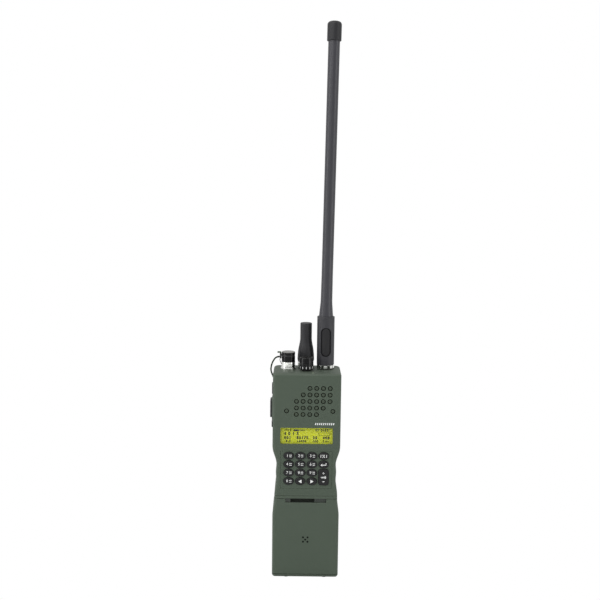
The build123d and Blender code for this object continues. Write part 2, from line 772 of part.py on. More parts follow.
def dust_cap():
    at = audio_at
    bottom = audio_collar_top + 0.1
    groove = keeper_thickness + keeper_gap + 0.2
    low, high = keeper_z - keeper_height / 2 - 0.15, keeper_z + keeper_height / 2 + 0.15
    body = turned(at, [(0, bottom), (cap_radius, bottom), (cap_radius, low), (cap_radius - groove, low),
                       (cap_radius - groove, high), (cap_radius, high), (cap_radius, cap_top), (0, cap_top)])
    body = fillet(body.edges().group_by(Axis.Z)[-1], 0.7)
    return body - post(at, audio_barrel_radius + fit_gap, bottom - 1, cap_top - cap_crown)


def cap_keeper():
    at = audio_at
    inner = cap_radius - keeper_thickness - 0.2
    low, high = keeper_z - keeper_height / 2, keeper_z + keeper_height / 2
    ring = post(at, inner + keeper_thickness, low, high) - post(at, inner, low - 1, high + 1)
    edge = at[0] - inner - keeper_thickness
    sleeve_x = edge - 1.3
    arm = slab(sleeve_x - 0.6, edge + 0.4, at[1] - 1.0, at[1] + 1.0, low, high)
    sleeve = slab(sleeve_x - 1.0, sleeve_x + 0.9, at[1] - 1.2, at[1] + 1.2, *sleeve_z)
    sleeve = fillet(sleeve.edges().filter_by(Axis.Z), 0.5)
    tongue = slab(sleeve_x - tongue_reach, sleeve_x + 0.5, at[1] - 1.0, at[1] + 1.0,
                  sleeve_z[1], tongue_top)
    tongue = fillet(tongue.edges().filter_by(Axis.Z).group_by(Axis.X)[0], 0.8)
    return ring + arm + sleeve + tongue


def lanyard_radii(points):
    radii = []
    for before, here, after in zip(points, points[1:], points[2:]):
        first = Vector(*here) - Vector(*before)
        second = Vector(*after) - Vector(*here)
        half_turn = math.radians(first.get_angle(second)) / 2
        radii.append(0.45 * min(first.length, second.length) / math.tan(half_turn))
    return radii


def cap_lanyard():
    radii = lanyard_radii(lanyard_points)
    path = FilletPolyline(*lanyard_points, radius=radii)
    start = Plane(origin=path @ 0, z_dir=path % 0)
    tube = sweep(start * Circle(lanyard_radius), path=path)
    section = math.pi * lanyard_radius ** 2
    print("lanyard radii", [round(r, 1) for r in radii], "length", round(path.length, 2),
          "volume ratio", round(tube.volume / (section * path.length), 4))
    return tube


def lanyard_screw():
    y, z = anchor_at
    face = -half_width
    screw_body = pin_x(y, z, 1.0, face - 0.9, -inner_side - 0.1) + pin_x(y, z, 2.1, face - 1.6, face - 0.9)
    screw_body -= slab(face - 2.0, face - 1.2, y - 0.25, y + 0.25, z - 3, z + 3)
    ring = pin_x(y, z, 2.3, face - 0.88, face) - pin_x(y, z, 1.0 + fit_gap, face - 2, face + 1)
    end = lanyard_points[-1]
    barrel_y = end[1]
    ring += slab(face - 0.88, face, barrel_y, y - 1.2, z - 0.7, z + 0.7)
    return Compound(children=[screw_body, ring])


def antenna_connector():
    at = antenna_at
    body = post(at, antenna_thread_radius, inner_deck - 6.0, antenna_thread_top)
    body += post(at, antenna_thread_radius + 2.2, inner_deck - 3.0, inner_deck)
    return body - post(at, antenna_pin_radius + 1.6, antenna_thread_top - 5.0, antenna_thread_top + 1)


def antenna_seal():
    at = antenna_at
    ring = post(at, 8.6, deck_height + 0.02, antenna_seal_top)
    return ring - post(at, antenna_thread_radius + 0.3, deck_height - 1, antenna_seal_top + 1)


def antenna_collar():
    at = antenna_at
    body = post(at, antenna_collar_radius, antenna_seal_top + 0.02, antenna_collar_top)
    body = chamfer(body.edges().filter_by(GeomType.CIRCLE), 0.35)
    out = antenna_collar_radius + antenna_notch_radius - antenna_notch_depth
    for place in around(at, out, antenna_notches, 180 / antenna_notches):
        body -= post(place, antenna_notch_radius, antenna_seal_top - 1, antenna_collar_top + 1)
    body -= post(at, antenna_thread_radius + fit_gap, antenna_seal_top - 1, antenna_thread_top + 0.2)
    body -= post(at, antenna_pin_radius, antenna_thread_top, antenna_collar_top + 1)
    pin = post(at, antenna_pin_radius - 0.02, antenna_thread_top - 4.4, antenna_pin_top - 0.1)
    return Compound(children=[body, pin])


def antenna_grip():
    at = antenna_at
    body = post(at, grip_radius, antenna_collar_top, grip_top)
    body = fillet(body.edges().filter_by(GeomType.CIRCLE), 0.8)
    recess = rounded_y(at[0], grip_recess_z, *grip_recess, grip_recess[0] / 2 - 0.01,
                       at[1] - grip_radius - 1, at[1])
    recess -= post(at, grip_radius - grip_recess_depth, 0, grip_top + 1)
    body -= recess
    socket = post(at, antenna_pin_radius, antenna_collar_top - 1, antenna_pin_top)
    return body - socket


def leaning(solid):
    pivot = Pos(antenna_at[0], antenna_at[1], grip_top)
    return pivot * Rot(0, whip_lean, 0) * Pos(0, 0, -grip_top) * solid


def antenna_whip():
    foot = grip_top - 1.0
    end = whip_top + tip_length - tip_cover
    rod = turned((0, 0), [(0, foot), (whip_base_radius, foot), (whip_radius + 0.25, whip_cone_top),
                          (whip_radius, whip_cone_top + 30.0), (whip_radius, whip_top),
                          (whip_radius - 1.2, whip_top), (whip_radius - 1.2, end), (0, end)])
    return leaning(rod) - slab(-half_width, case_width, front_y, back_y, foot - 1.0, grip_top)


def antenna_tip():
    body = Pos(0, 0, whip_top + tip_length / 2) * Cylinder(tip_radius, tip_length)
    body = fillet(body.edges().group_by(Axis.Z)[-1], 3.6)
    body = fillet(body.edges().group_by(Axis.Z)[0], 0.7)
    bore_length = tip_length - tip_cover
    bore = Pos(0, 0, whip_top + bore_length / 2) * Cylinder(whip_radius - 1.15, bore_length + 0.1)
    return leaning(body - bore)


def gps_connector():
    body = post(gps_at, gps_thread_radius, inner_deck - 5.0, gps_thread_top)
    body += post(gps_at, gps_thread_radius + 1.8, inner_deck - 2.4, inner_deck)
    return body - post(gps_at, 2.0, gps_thread_top - 5.0, gps_thread_top + 1)


def gps_seal():
    ring = post(gps_at, 6.2, deck_height + 0.02, gps_seal_top)
    return ring - post(gps_at, gps_thread_radius + 0.3, deck_height - 1, gps_seal_top + 1)


def gps_collar():
    body = post(gps_at, gps_collar_radius, gps_seal_top + 0.02, gps_collar_top)
    body = chamfer(body.edges().filter_by(GeomType.CIRCLE), 0.4)
    for place in around(gps_at, gps_collar_radius + 0.5, gps_notches):
        body -= post(place, gps_notch_radius, gps_seal_top - 1, gps_collar_top - 0.9)
    return body - post(gps_at, gps_thread_radius + fit_gap, gps_seal_top - 1, gps_thread_top + 0.3)


def gps_antenna():
    flare = Spline((gps_foot_radius, 0, gps_foot_z + 1.5), (8.2, 0, 252.0), (gps_neck_radius, 0, gps_neck_z),
                   tangents=((-0.05, 0, 1), (0, 0, 1)))
    wall = Line((gps_neck_radius, 0, gps_neck_z), (gps_neck_radius, 0, gps_top))
    top = Line((gps_neck_radius, 0, gps_top), (0, 0, gps_top))
    axis = Line((0, 0, gps_top), (0, 0, gps_collar_top))
    foot = Polyline((0, 0, gps_collar_top), (gps_collar_radius - 0.6, 0, gps_collar_top),
                    (gps_foot_radius - 0.5, 0, gps_foot_z - 1.6), (gps_foot_radius, 0, gps_foot_z),
                    (gps_foot_radius, 0, gps_foot_z + 1.5))
    body = revolve(make_face(flare + wall + top + axis + foot), Axis.Z)
    body = fillet(body.edges().group_by(Axis.Z)[-1], 0.9)
    return Pos(gps_at[0], gps_at[1], 0) * body


def status_lens():
    body = post(lens_at, lens_radius, inner_deck, deck_height + 0.9)
    return fillet(body.edges().group_by(Axis.Z)[-1], 0.8)


def battery_case():
    top = seam_height - 0.15
    hollow = case_block(battery_wall, front_y + battery_wall, back_y - battery_wall, 1.6, 4.6)
    body = between(outer_block, front_y - 1, back_y + 1, base_top + 0.15, top)
    body -= between(hollow, front_y, back_y, 0, seam_height - battery_top_wall)
    body -= seam_groove(top - seam_gap, seam_height)
    pocket_back = front_y + latch_depth
    shelf = slab(-latch_half_width - 2, latch_chamber_end + 2, front_y + 1, pocket_back + 1.6,
                 latch_bottom - 1.8, top)
    body += shelf & between(hollow, front_y, back_y, 0, seam_height)
    body -= slab(-latch_half_width, latch_half_width, front_y - 1, pocket_back,
                 latch_bottom, seam_height + 1)
    body -= slab(latch_half_width - 1, latch_chamber_end, front_y + spring_chamber_y, pocket_back,
                 latch_bottom + 0.6, seam_height + 1)
    body += slab(-latch_half_width - 0.1, latch_stop, front_y + latch_recess, pocket_back + 0.1,
                 latch_bottom - 0.1, top)
    for width, depth, drop in (contact_well, contact_slot):
        body -= slab(-width / 2, width / 2, contact_y - depth / 2, contact_y + depth / 2,
                     seam_height - drop, seam_height + 1)
    for dx, dz in ((0, 0), (-1, -1), (-1, 1), (1, -1), (1, 1)):
        body -= pin_y(dx * vent_spread, vent_z + dz * vent_spread, vent_radius,
                      front_y - 1, front_y + battery_wall + 1)
    return body


def battery_base():
    body = between(outer_block, front_y - 1, back_y + 1, foot_height, base_top)
    rim = body.edges().filter_by(lambda e: e.bounding_box().max.Z < foot_height + 0.01)
    body = fillet(rim, base_round)
    body -= seam_groove(base_top - seam_gap, base_top + 1)
    inset = battery_wall + slip_gap
    plug = case_block(inset, front_y + inset, back_y - inset, 1.4, 4.4)
    body += between(plug, front_y, back_y, base_top - 0.5, base_top + 2.5)
    for at in foot_places:
        body += post(at, foot_radius, 0.0, foot_height + 0.5)
    return body


def battery_cells():
    cell_top = cell_floor + cell_length
    cells = []
    for i in (-1, 0, 1):
        for j in (-0.5, 0.5):
            at = (i * cell_pitch[0], j * cell_pitch[1])
            cell = post(at, cell_radius, cell_floor, cell_top)
            cell += post(at, cell_button[0], cell_top, cell_top + cell_button[1])
            cells.append(fillet(cell.edges().group_by(Axis.Z)[-1], 0.4))
    return Compound(children=cells)


def battery_board():
    face = battery_board_z + board_thickness
    solids = [slab(-battery_board_x, battery_board_x, *battery_board_y, battery_board_z, face)]
    for at in contact_places():
        solids.append(post(at, 1.9, face, seam_height - contact_well[2]))
    solids.append(slab(-24, -12, -10, -2, face, face + 3.0))
    solids.append(slab(8, 22, -12, 0, face, face + 2.2))
    for x in (-25.5, 25.5):
        solids.append(slab(x - 1.2, x + 1.2, 10, 14, face, seam_height - battery_top_wall))
    return Compound(children=solids)


def battery_latch():
    left, right = latch_block
    y0 = front_y + latch_recess
    y1 = front_y + latch_depth - latch_gap
    block = slab(left, right, y0, y1, latch_bottom + latch_gap, seam_height - 0.35)
    block = chamfer(block.edges().filter_by(Axis.Z).group_by(Axis.Y)[0], 0.5)
    first = (left + right - (latch_ribs - 1) * latch_rib_pitch) / 2
    for i in range(latch_ribs):
        x = first + i * latch_rib_pitch
        block -= slab(x - 0.35, x + 0.35, y0 - 1, y0 + 0.5, latch_bottom + 1.1, seam_height - 1.2)
    return block + slab(right - 0.2, right + 1.8, y0 + 0.2, y1, latch_bottom + 1.3, seam_height - 1.0)


def latch_spring():
    start = latch_block[1] + 1.85
    length = latch_chamber_end - start - 0.05
    middle_y = front_y + mid((spring_chamber_y, latch_depth))
    middle_z = mid((latch_bottom, seam_height))
    pitch = (length - 2 * spring_wire) / spring_turns
    coil = Helix(pitch, pitch * spring_turns, spring_radius)
    section = Plane(origin=coil @ 0, z_dir=coil % 0) * Circle(spring_wire)
    wire = sweep(section, path=coil, is_frenet=True)
    return Pos(start + spring_wire, middle_y, middle_z) * Rot(0, 90, 0) * wire


# The round keys in the order of their places, row by row from the top
key_names = ["key_1", "key_2", "key_3", "key_clear", "key_4", "key_5", "key_6", "key_enter",
             "key_7", "key_8", "key_9", "key_0", "key_left", "key_right"]

builders = [front_housing, rear_cover, cover_gasket, case_screws, bottom_plate, contact_pins, display_window,
            display_module, keypad_plate, keypad_board, main_board, rf_shield, speaker, speaker_baffle,
            microphone, channel_switch, channel_shaft, channel_knob, audio_connector, audio_contacts,
            dust_cap, cap_keeper, cap_lanyard, lanyard_screw, antenna_connector, antenna_seal,
            antenna_collar, antenna_grip, antenna_whip, antenna_tip, gps_connector, gps_seal, gps_collar,
            gps_antenna, status_lens, side_switch_board, ptt_button, squelch_button, volume_rocker,
            key_preset, battery_case, battery_base, battery_cells, battery_board, battery_latch,
            latch_spring]


def main():
    os.makedirs("parts", exist_ok=True)
    for build in builders:
        export_step(build(), f"parts/{build.__name__}.step")
        print(build.__name__)
    for name, (x, z) in zip(key_names, round_key_places):
        export_step(round_key(x, z), f"parts/{name}.step")
        print(name)


main()
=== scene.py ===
import bpy
import math
import numpy as np
from mathutils import Matrix, Vector


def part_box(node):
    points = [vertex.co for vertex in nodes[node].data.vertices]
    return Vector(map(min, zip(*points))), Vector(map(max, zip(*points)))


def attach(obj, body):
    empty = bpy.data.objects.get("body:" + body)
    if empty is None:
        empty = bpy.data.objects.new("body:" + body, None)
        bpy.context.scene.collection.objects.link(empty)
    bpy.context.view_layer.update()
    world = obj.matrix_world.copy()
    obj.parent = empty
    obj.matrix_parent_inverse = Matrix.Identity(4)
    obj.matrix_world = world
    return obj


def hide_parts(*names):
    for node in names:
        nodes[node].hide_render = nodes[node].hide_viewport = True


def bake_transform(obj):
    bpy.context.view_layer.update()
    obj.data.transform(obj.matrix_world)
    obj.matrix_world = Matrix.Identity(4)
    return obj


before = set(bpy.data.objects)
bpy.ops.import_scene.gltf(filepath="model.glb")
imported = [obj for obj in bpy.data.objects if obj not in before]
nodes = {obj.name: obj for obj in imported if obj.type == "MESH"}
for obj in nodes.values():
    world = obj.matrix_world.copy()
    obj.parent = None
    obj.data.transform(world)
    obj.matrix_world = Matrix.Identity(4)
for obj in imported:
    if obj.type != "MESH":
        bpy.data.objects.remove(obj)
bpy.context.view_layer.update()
mm = 0.001


def fromScreen(red, green, blue):
    # display value 0-255 to linear colour
    def linear(value):
        value = value / 255
        return value / 12.92 if value <= 0.04045 else ((value + 0.055) / 1.055) ** 2.4
    return (linear(red), linear(green), linear(blue), 1.0)


def gridMesh(name, points, closeU=False, closeV=False, capStart=False, capEnd=False):
    # points is an array (rows, columns, 3); neighbours on the grid become quads, and caps close the end rows
    rows, columns = points.shape[:2]
    rowIndex = np.arange(rows if closeU else rows - 1)
    columnIndex = np.arange(columns if closeV else columns - 1)
    r, c = np.meshgrid(rowIndex, columnIndex, indexing="ij")
    r2, c2 = (r + 1) % rows, (c + 1) % columns
    corners = [r * columns + c, r * columns + c2, r2 * columns + c2, r2 * columns + c]
    faces = np.stack(corners, -1).reshape(-1, 4).tolist()
    if capStart:
        faces.append(list(range(columns))[::-1])
    if capEnd:
        faces.append([(rows - 1) * columns + i for i in range(columns)])
    mesh = bpy.data.meshes.new(name)
    mesh.from_pydata(points.reshape(-1, 3).tolist(), [], faces)
    mesh.update()
    return mesh


def addPiece(name, mesh, body, material, smooth=True):
    piece = bpy.data.objects.new(name, mesh)
    bpy.context.scene.collection.objects.link(piece)
    if smooth:
        mesh.polygons.foreach_set("use_smooth", np.ones(len(mesh.polygons), bool))
    mesh.materials.clear()
    mesh.materials.append(material)
    if body:
        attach(piece, body)
    return piece


def newGroup(name, inputs, outputs):
    group = bpy.data.node_groups.new(name, "ShaderNodeTree")
    for label, kind, value in inputs:
        socket = group.interface.new_socket(label, in_out="INPUT", socket_type=kind)
        if value is not None:
            socket.default_value = value
    for label, kind in outputs:
        group.interface.new_socket(label, in_out="OUTPUT", socket_type=kind)
    return group, group.nodes.new("NodeGroupInput"), group.nodes.new("NodeGroupOutput")


def mathNode(tree, operation, first, second=None, clamp=False):
    node = tree.nodes.new("ShaderNodeMath")
    node.operation = operation
    node.use_clamp = clamp
    for socket, value in zip(node.inputs, (first, second)):
        if value is None:
            continue
        if isinstance(value, (int, float)):
            socket.default_value = value
        else:
            tree.links.new(value, socket)
    return node.outputs[0]


grainDetail = {"noise": 3.0, "cell share": 0.45}


def makeGrain():
    # orange peel of sprayed paint or the spark texture of a mould: fine noise over coarser cells
    inputs = [("Scale", "NodeSocketFloat", 2200.0), ("Cells", "NodeSocketFloat", 0.5)]
    outputs = [("Height", "NodeSocketFloat"), ("Speckle", "NodeSocketFloat")]
    group, start, end = newGroup("mouldGrain", inputs, outputs)
    place = group.nodes.new("ShaderNodeTexCoord")
    noise = group.nodes.new("ShaderNodeTexNoise")
    noise.inputs["Detail"].default_value = grainDetail["noise"]
    cells = group.nodes.new("ShaderNodeTexVoronoi")
    cells.feature = "SMOOTH_F1"
    group.links.new(place.outputs["Object"], noise.inputs["Vector"])
    group.links.new(place.outputs["Object"], cells.inputs["Vector"])
    group.links.new(start.outputs["Scale"], noise.inputs["Scale"])
    cellScale = mathNode(group, "MULTIPLY", start.outputs["Scale"], grainDetail["cell share"])
    group.links.new(cellScale, cells.inputs["Scale"])
    bumps = mathNode(group, "MULTIPLY", cells.outputs["Distance"], start.outputs["Cells"])
    group.links.new(mathNode(group, "ADD", noise.outputs["Fac"], bumps), end.inputs["Height"])
    group.links.new(noise.outputs["Fac"], end.inputs["Speckle"])
    return group


toneDetail = {"noise": 5.0, "rough": 0.6, "dust": (0.55, 0.54, 0.5, 1)}


def makeTone():
    # a base colour that drifts lighter and darker in soft patches, with a pale tint on faces that look up:
    # faint dust, and where it is strong a painted sheen
    inputs = [("Base", "NodeSocketColor", (0.5, 0.5, 0.5, 1)), ("Drift", "NodeSocketFloat", 0.1),
              ("Scale", "NodeSocketFloat", 30.0), ("Dust", "NodeSocketFloat", 0.05)]
    outputs = [("Color", "NodeSocketColor"), ("Patches", "NodeSocketFloat")]
    group, start, end = newGroup("handledTone", inputs, outputs)
    place = group.nodes.new("ShaderNodeTexCoord")
    noise = group.nodes.new("ShaderNodeTexNoise")
    noise.inputs["Detail"].default_value = toneDetail["noise"]
    noise.inputs["Roughness"].default_value = toneDetail["rough"]
    group.links.new(place.outputs["Object"], noise.inputs["Vector"])
    group.links.new(start.outputs["Scale"], noise.inputs["Scale"])
    centred = mathNode(group, "SUBTRACT", noise.outputs["Fac"], 0.5)
    swing = mathNode(group, "MULTIPLY", centred, start.outputs["Drift"])
    value = mathNode(group, "ADD", mathNode(group, "MULTIPLY", swing, 2.0), 1.0)
    tint = group.nodes.new("ShaderNodeHueSaturation")
    group.links.new(start.outputs["Base"], tint.inputs["Color"])
    group.links.new(value, tint.inputs["Value"])
    geometry = group.nodes.new("ShaderNodeNewGeometry")
    split = group.nodes.new("ShaderNodeSeparateXYZ")
    group.links.new(geometry.outputs["Normal"], split.inputs[0])
    upward = mathNode(group, "MULTIPLY", split.outputs["Z"], start.outputs["Dust"], clamp=True)
    dustAndSheenMask = mathNode(group, "MULTIPLY", upward, noise.outputs["Fac"])
    blend = group.nodes.new("ShaderNodeMix")
    blend.data_type = "RGBA"
    group.links.new(dustAndSheenMask, blend.inputs["Factor"])
    group.links.new(tint.outputs["Color"], blend.inputs[6])
    blend.inputs[7].default_value = toneDetail["dust"]
    group.links.new(blend.outputs[2], end.inputs["Color"])
    group.links.new(noise.outputs["Fac"], end.inputs["Patches"])
    return group


edgeDetail = {"samples": 4, "noise": 6.0, "scale": 240.0, "gain": 5.0}


def makeEdge():
    # lighter edges, rubbed wear and on the olive paint a painted highlight: where a rounded normal leaves the
    # true one, broken up by noise
    inputs = [("Radius", "NodeSocketFloat", 0.0006), ("Amount", "NodeSocketFloat", 0.5)]
    group, start, end = newGroup("rubbedAndLitEdge", inputs, [("Mask", "NodeSocketFloat")])
    bevel = group.nodes.new("ShaderNodeBevel")
    bevel.samples = edgeDetail["samples"]
    group.links.new(start.outputs["Radius"], bevel.inputs["Radius"])
    geometry = group.nodes.new("ShaderNodeNewGeometry")
    dot = group.nodes.new("ShaderNodeVectorMath")
    dot.operation = "DOT_PRODUCT"
    group.links.new(bevel.outputs["Normal"], dot.inputs[0])
    group.links.new(geometry.outputs["Normal"], dot.inputs[1])
    away = mathNode(group, "SUBTRACT", 1.0, dot.outputs["Value"])
    place = group.nodes.new("ShaderNodeTexCoord")
    noise = group.nodes.new("ShaderNodeTexNoise")
    noise.inputs["Scale"].default_value = edgeDetail["scale"]
    noise.inputs["Detail"].default_value = edgeDetail["noise"]
    group.links.new(place.outputs["Object"], noise.inputs["Vector"])
    gained = mathNode(group, "MULTIPLY", away, edgeDetail["gain"], clamp=True)
    broken = mathNode(group, "MULTIPLY", gained, noise.outputs["Fac"])
    mask = mathNode(group, "MULTIPLY", broken, start.outputs["Amount"], clamp=True)
    group.links.new(mask, end.inputs["Mask"])
    return group


grainGroup = makeGrain()
toneGroup = makeTone()
edgeGroup = makeEdge()


def useGroup(tree, group, **values):
    node = tree.nodes.new("ShaderNodeGroup")
    node.node_tree = group
    for label, value in values.items():
        node.inputs[label].default_value = value
    return node


def mixColours(tree, factor, first, second):
    node = tree.nodes.new("ShaderNodeMix")
    node.data_type = "RGBA"
    for socket, value in ((node.inputs["Factor"], factor), (node.inputs[6], first), (node.inputs[7], second)):
        if isinstance(value, (tuple, float, int)):
            socket.default_value = value
        else:
            tree.links.new(value, socket)
    return node.outputs[2]


def newMaterial(name):
    material = bpy.data.materials.new(name)
    material.use_nodes = True
    return material, material.node_tree, material.node_tree.nodes["Principled BSDF"]


def surface(name, look):
    # the common build of a finish: drifting tone with dust and painted top sheen, lighter edges (rubbed wear,
    # painted edge highlight), grain in roughness and bump
    material, tree, shader = newMaterial(name)
    tone = useGroup(tree, toneGroup, Base=look["base"], Drift=look.get("drift", 0.08),
                    Scale=look.get("patch", 35.0), Dust=look.get("dust", 0.04))
    colour = tone.outputs["Color"]
    if look.get("wearAndEdgeLight", 0) > 0:
        edge = useGroup(tree, edgeGroup, Radius=look.get("edge", 0.0006), Amount=look["wearAndEdgeLight"])
        colour = mixColours(tree, edge.outputs["Mask"], colour, look["wornAndLitEdge"])
    tree.links.new(colour, shader.inputs["Base Color"])
    grain = useGroup(tree, grainGroup, Scale=look.get("grain", 2200.0), Cells=look.get("cells", 0.5))
    span = tree.nodes.new("ShaderNodeMapRange")
    span.inputs["To Min"].default_value, span.inputs["To Max"].default_value = look["rough"]
    speckle = mathNode(tree, "MULTIPLY", grain.outputs["Speckle"], 0.5)
    patches = mathNode(tree, "MULTIPLY", tone.outputs["Patches"], 0.5)
    tree.links.new(mathNode(tree, "ADD", speckle, patches), span.inputs["Value"])
    tree.links.new(span.outputs["Result"], shader.inputs["Roughness"])
    bump = tree.nodes.new("ShaderNodeBump")
    bump.inputs["Strength"].default_value = look.get("bump", 0.25)
    bump.inputs["Distance"].default_value = look.get("depth", 0.00012)
    tree.links.new(grain.outputs["Height"], bump.inputs["Height"])
    tree.links.new(bump.outputs["Normal"], shader.inputs["Normal"])
    shader.inputs["Metallic"].default_value = look.get("metal", 0.0)
    shader.inputs["Specular IOR Level"].default_value = look.get("specular", 0.5)
    shader.inputs["Coat Weight"].default_value = look.get("coat", 0.0)
    return material


looks = {
    # the olive paint's lighter edge colour is a painted highlight along its edges and fillets
    "olivePaint": {"base": fromScreen(66, 77, 65), "drift": 0.05, "patch": 28.0, "dust": 0.06, "wearAndEdgeLight": 0.45,
                   "edge": 0.0007, "wornAndLitEdge": fromScreen(118, 130, 114), "rough": (0.5, 0.66), "grain": 2600.0,
                   "bump": 0.22, "specular": 0.35},
    "oliveRubber": {"base": fromScreen(61, 70, 58), "drift": 0.06, "rough": (0.6, 0.78), "grain": 3200.0,
                    "bump": 0.2, "specular": 0.3},
    "blackRubber": {"base": fromScreen(29, 29, 32), "drift": 0.08, "dust": 0.05, "wearAndEdgeLight": 0.25,
                    "wornAndLitEdge": fromScreen(70, 70, 74), "rough": (0.42, 0.6), "grain": 2800.0, "bump": 0.3,
                    "specular": 0.4},
    "gripRubber": {"base": fromScreen(46, 46, 50), "drift": 0.08, "rough": (0.42, 0.6), "grain": 2800.0,
                   "bump": 0.3, "specular": 0.4},
    "padRubber": {"base": fromScreen(30, 30, 32), "drift": 0.1, "rough": (0.55, 0.75), "grain": 2400.0,
                  "bump": 0.4, "specular": 0.3},
    "whipJacket": {"base": fromScreen(50, 50, 55), "drift": 0.06, "rough": (0.34, 0.48), "grain": 3400.0,
                   "bump": 0.15},
    "keyRubber": {"base": fromScreen(14, 14, 16), "drift": 0.08, "dust": 0.03, "wearAndEdgeLight": 0.12,
                  "wornAndLitEdge": fromScreen(58, 58, 62), "rough": (0.34, 0.48), "grain": 3600.0, "bump": 0.12,
                  "specular": 0.35},
    "gasketRubber": {"base": fromScreen(24, 24, 25), "rough": (0.6, 0.75)},
    "blackPlastic": {"base": fromScreen(13, 13, 14), "drift": 0.05, "wearAndEdgeLight": 0.12,
                     "wornAndLitEdge": fromScreen(120, 120, 122), "edge": 0.0004, "rough": (0.2, 0.32),
                     "grain": 3000.0, "bump": 0.1, "specular": 0.3},
    # the strong pale tint on the cap's upward faces is a painted sheen on its top
    "capAnodised": {"base": fromScreen(9, 9, 10), "drift": 0.04, "dust": 0.75, "wearAndEdgeLight": 0.06,
                    "wornAndLitEdge": fromScreen(120, 120, 122), "edge": 0.0004, "rough": (0.14, 0.22), "grain": 3000.0,
                    "bump": 0.05, "specular": 0.2},
    "brightPlate": {"base": (0.8, 0.81, 0.78, 1), "drift": 0.03, "metal": 1.0, "rough": (0.2, 0.26),
                    "grain": 900.0, "bump": 0.0},
    "dullSteel": {"base": (0.5, 0.5, 0.49, 1), "drift": 0.08, "metal": 1.0, "rough": (0.28, 0.46),
                  "bump": 0.04},
    "goldPlate": {"base": (0.86, 0.62, 0.26, 1), "drift": 0.05, "metal": 1.0, "rough": (0.2, 0.34),
                  "bump": 0.08},
    "tinPlate": {"base": (0.62, 0.62, 0.6, 1), "drift": 0.1, "metal": 1.0, "rough": (0.3, 0.5), "bump": 0.2},
    "solderMask": {"base": fromScreen(18, 84, 48), "drift": 0.15, "patch": 200.0, "rough": (0.3, 0.45)},
    "cellWrap": {"base": fromScreen(38, 92, 150), "drift": 0.06, "rough": (0.25, 0.4)},
    "latchGrey": {"base": fromScreen(52, 58, 52), "drift": 0.05, "wearAndEdgeLight": 0.3, "wornAndLitEdge": fromScreen(84, 92, 83),
                  "edge": 0.0004, "rough": (0.45, 0.6), "grain": 3000.0, "bump": 0.2},
    "lensGreen": {"base": fromScreen(80, 92, 72), "rough": (0.12, 0.2), "bump": 0.02, "coat": 0.6},
    "wireCoat": {"base": fromScreen(20, 38, 14), "drift": 0.12, "patch": 300.0, "rough": (0.5, 0.65),
                 "grain": 5000.0, "specular": 0.1},
    "crimpBlack": {"base": fromScreen(14, 14, 14), "rough": (0.35, 0.5)},
    # near-black of the vent plugs and seam seal, also painted shade in the grip's groove
    "ventDarkAndShade": {"base": fromScreen(8, 9, 8), "rough": (0.8, 0.9), "dust": 0.0, "specular": 0.05},
    # dark colour of painted shade in the latch slot and in the antenna nut's notches
    "paintedShadeDark": {"base": fromScreen(44, 48, 43), "rough": (0.7, 0.85), "dust": 0.0, "specular": 0.15},
    "legendWhite": {"base": fromScreen(214, 216, 214), "drift": 0.05, "patch": 700.0, "rough": (0.5, 0.6),
                    "bump": 0.05},
    "lcdInk": {"base": fromScreen(8, 10, 3), "drift": 0.08, "patch": 900.0, "rough": (0.5, 0.6), "bump": 0.02,
               "specular": 0.1},
}
materials = {name: surface(name, look) for name, look in looks.items()}
print("finishes made:", len(materials))


# glow paints a faint light into the panel
lcdLook = {"base": fromScreen(178, 184, 5), "edge": fromScreen(146, 151, 4), "dot": 3300.0, "glow": 0.08,
           "grid": 0.03, "cloud": 0.15, "cloud scale": 60.0, "rough": 0.4, "specular": 0.15}


def makeLcd():
    # the panel: a fine grid of display dots and soft darker clouds, with a faint painted glow that keeps it
    # bright behind the window
    material, tree, shader = newMaterial("lcdPanel")
    place = tree.nodes.new("ShaderNodeTexCoord")
    split = tree.nodes.new("ShaderNodeSeparateXYZ")
    tree.links.new(place.outputs["Object"], split.inputs[0])
    turns = math.pi * lcdLook["dot"]
    waves = [mathNode(tree, "SINE", mathNode(tree, "MULTIPLY", split.outputs[axis], turns))
             for axis in ("X", "Z")]
    grid = mathNode(tree, "MULTIPLY", mathNode(tree, "MAXIMUM", *waves), lcdLook["grid"], clamp=True)
    noise = tree.nodes.new("ShaderNodeTexNoise")
    noise.inputs["Scale"].default_value = lcdLook["cloud scale"]
    tree.links.new(place.outputs["Object"], noise.inputs["Vector"])
    cloud = mathNode(tree, "MULTIPLY", noise.outputs["Fac"], lcdLook["cloud"])
    darker = mathNode(tree, "ADD", grid, cloud, clamp=True)
    colour = mixColours(tree, darker, lcdLook["base"], lcdLook["edge"])
    tree.links.new(colour, shader.inputs["Base Color"])
    tree.links.new(colour, shader.inputs["Emission Color"])
    shader.inputs["Emission Strength"].default_value = lcdLook["glow"]
    shader.inputs["Roughness"].default_value = lcdLook["rough"]
    shader.inputs["Specular IOR Level"].default_value = lcdLook["specular"]
    return material


windowLook = {"base": (0.9, 0.95, 0.88, 1), "alpha": 0.02, "rough": (0.04, 0.12), "haze scale": 900.0,
              "specular": 0.1}


def makeWindow():
    # a clear pane with faintly uneven gloss
    material, tree, shader = newMaterial("clearWindow")
    noise = tree.nodes.new("ShaderNodeTexNoise")
    noise.inputs["Scale"].default_value = windowLook["haze scale"]
    place = tree.nodes.new("ShaderNodeTexCoord")
    tree.links.new(place.outputs["Object"], noise.inputs["Vector"])
    span = tree.nodes.new("ShaderNodeMapRange")
    span.inputs["To Min"].default_value, span.inputs["To Max"].default_value = windowLook["rough"]
    tree.links.new(noise.outputs["Fac"], span.inputs["Value"])
    tree.links.new(span.outputs["Result"], shader.inputs["Roughness"])
    shader.inputs["Base Color"].default_value = windowLook["base"]
    shader.inputs["Alpha"].default_value = windowLook["alpha"]
    shader.inputs["Specular IOR Level"].default_value = windowLook["specular"]
    return material


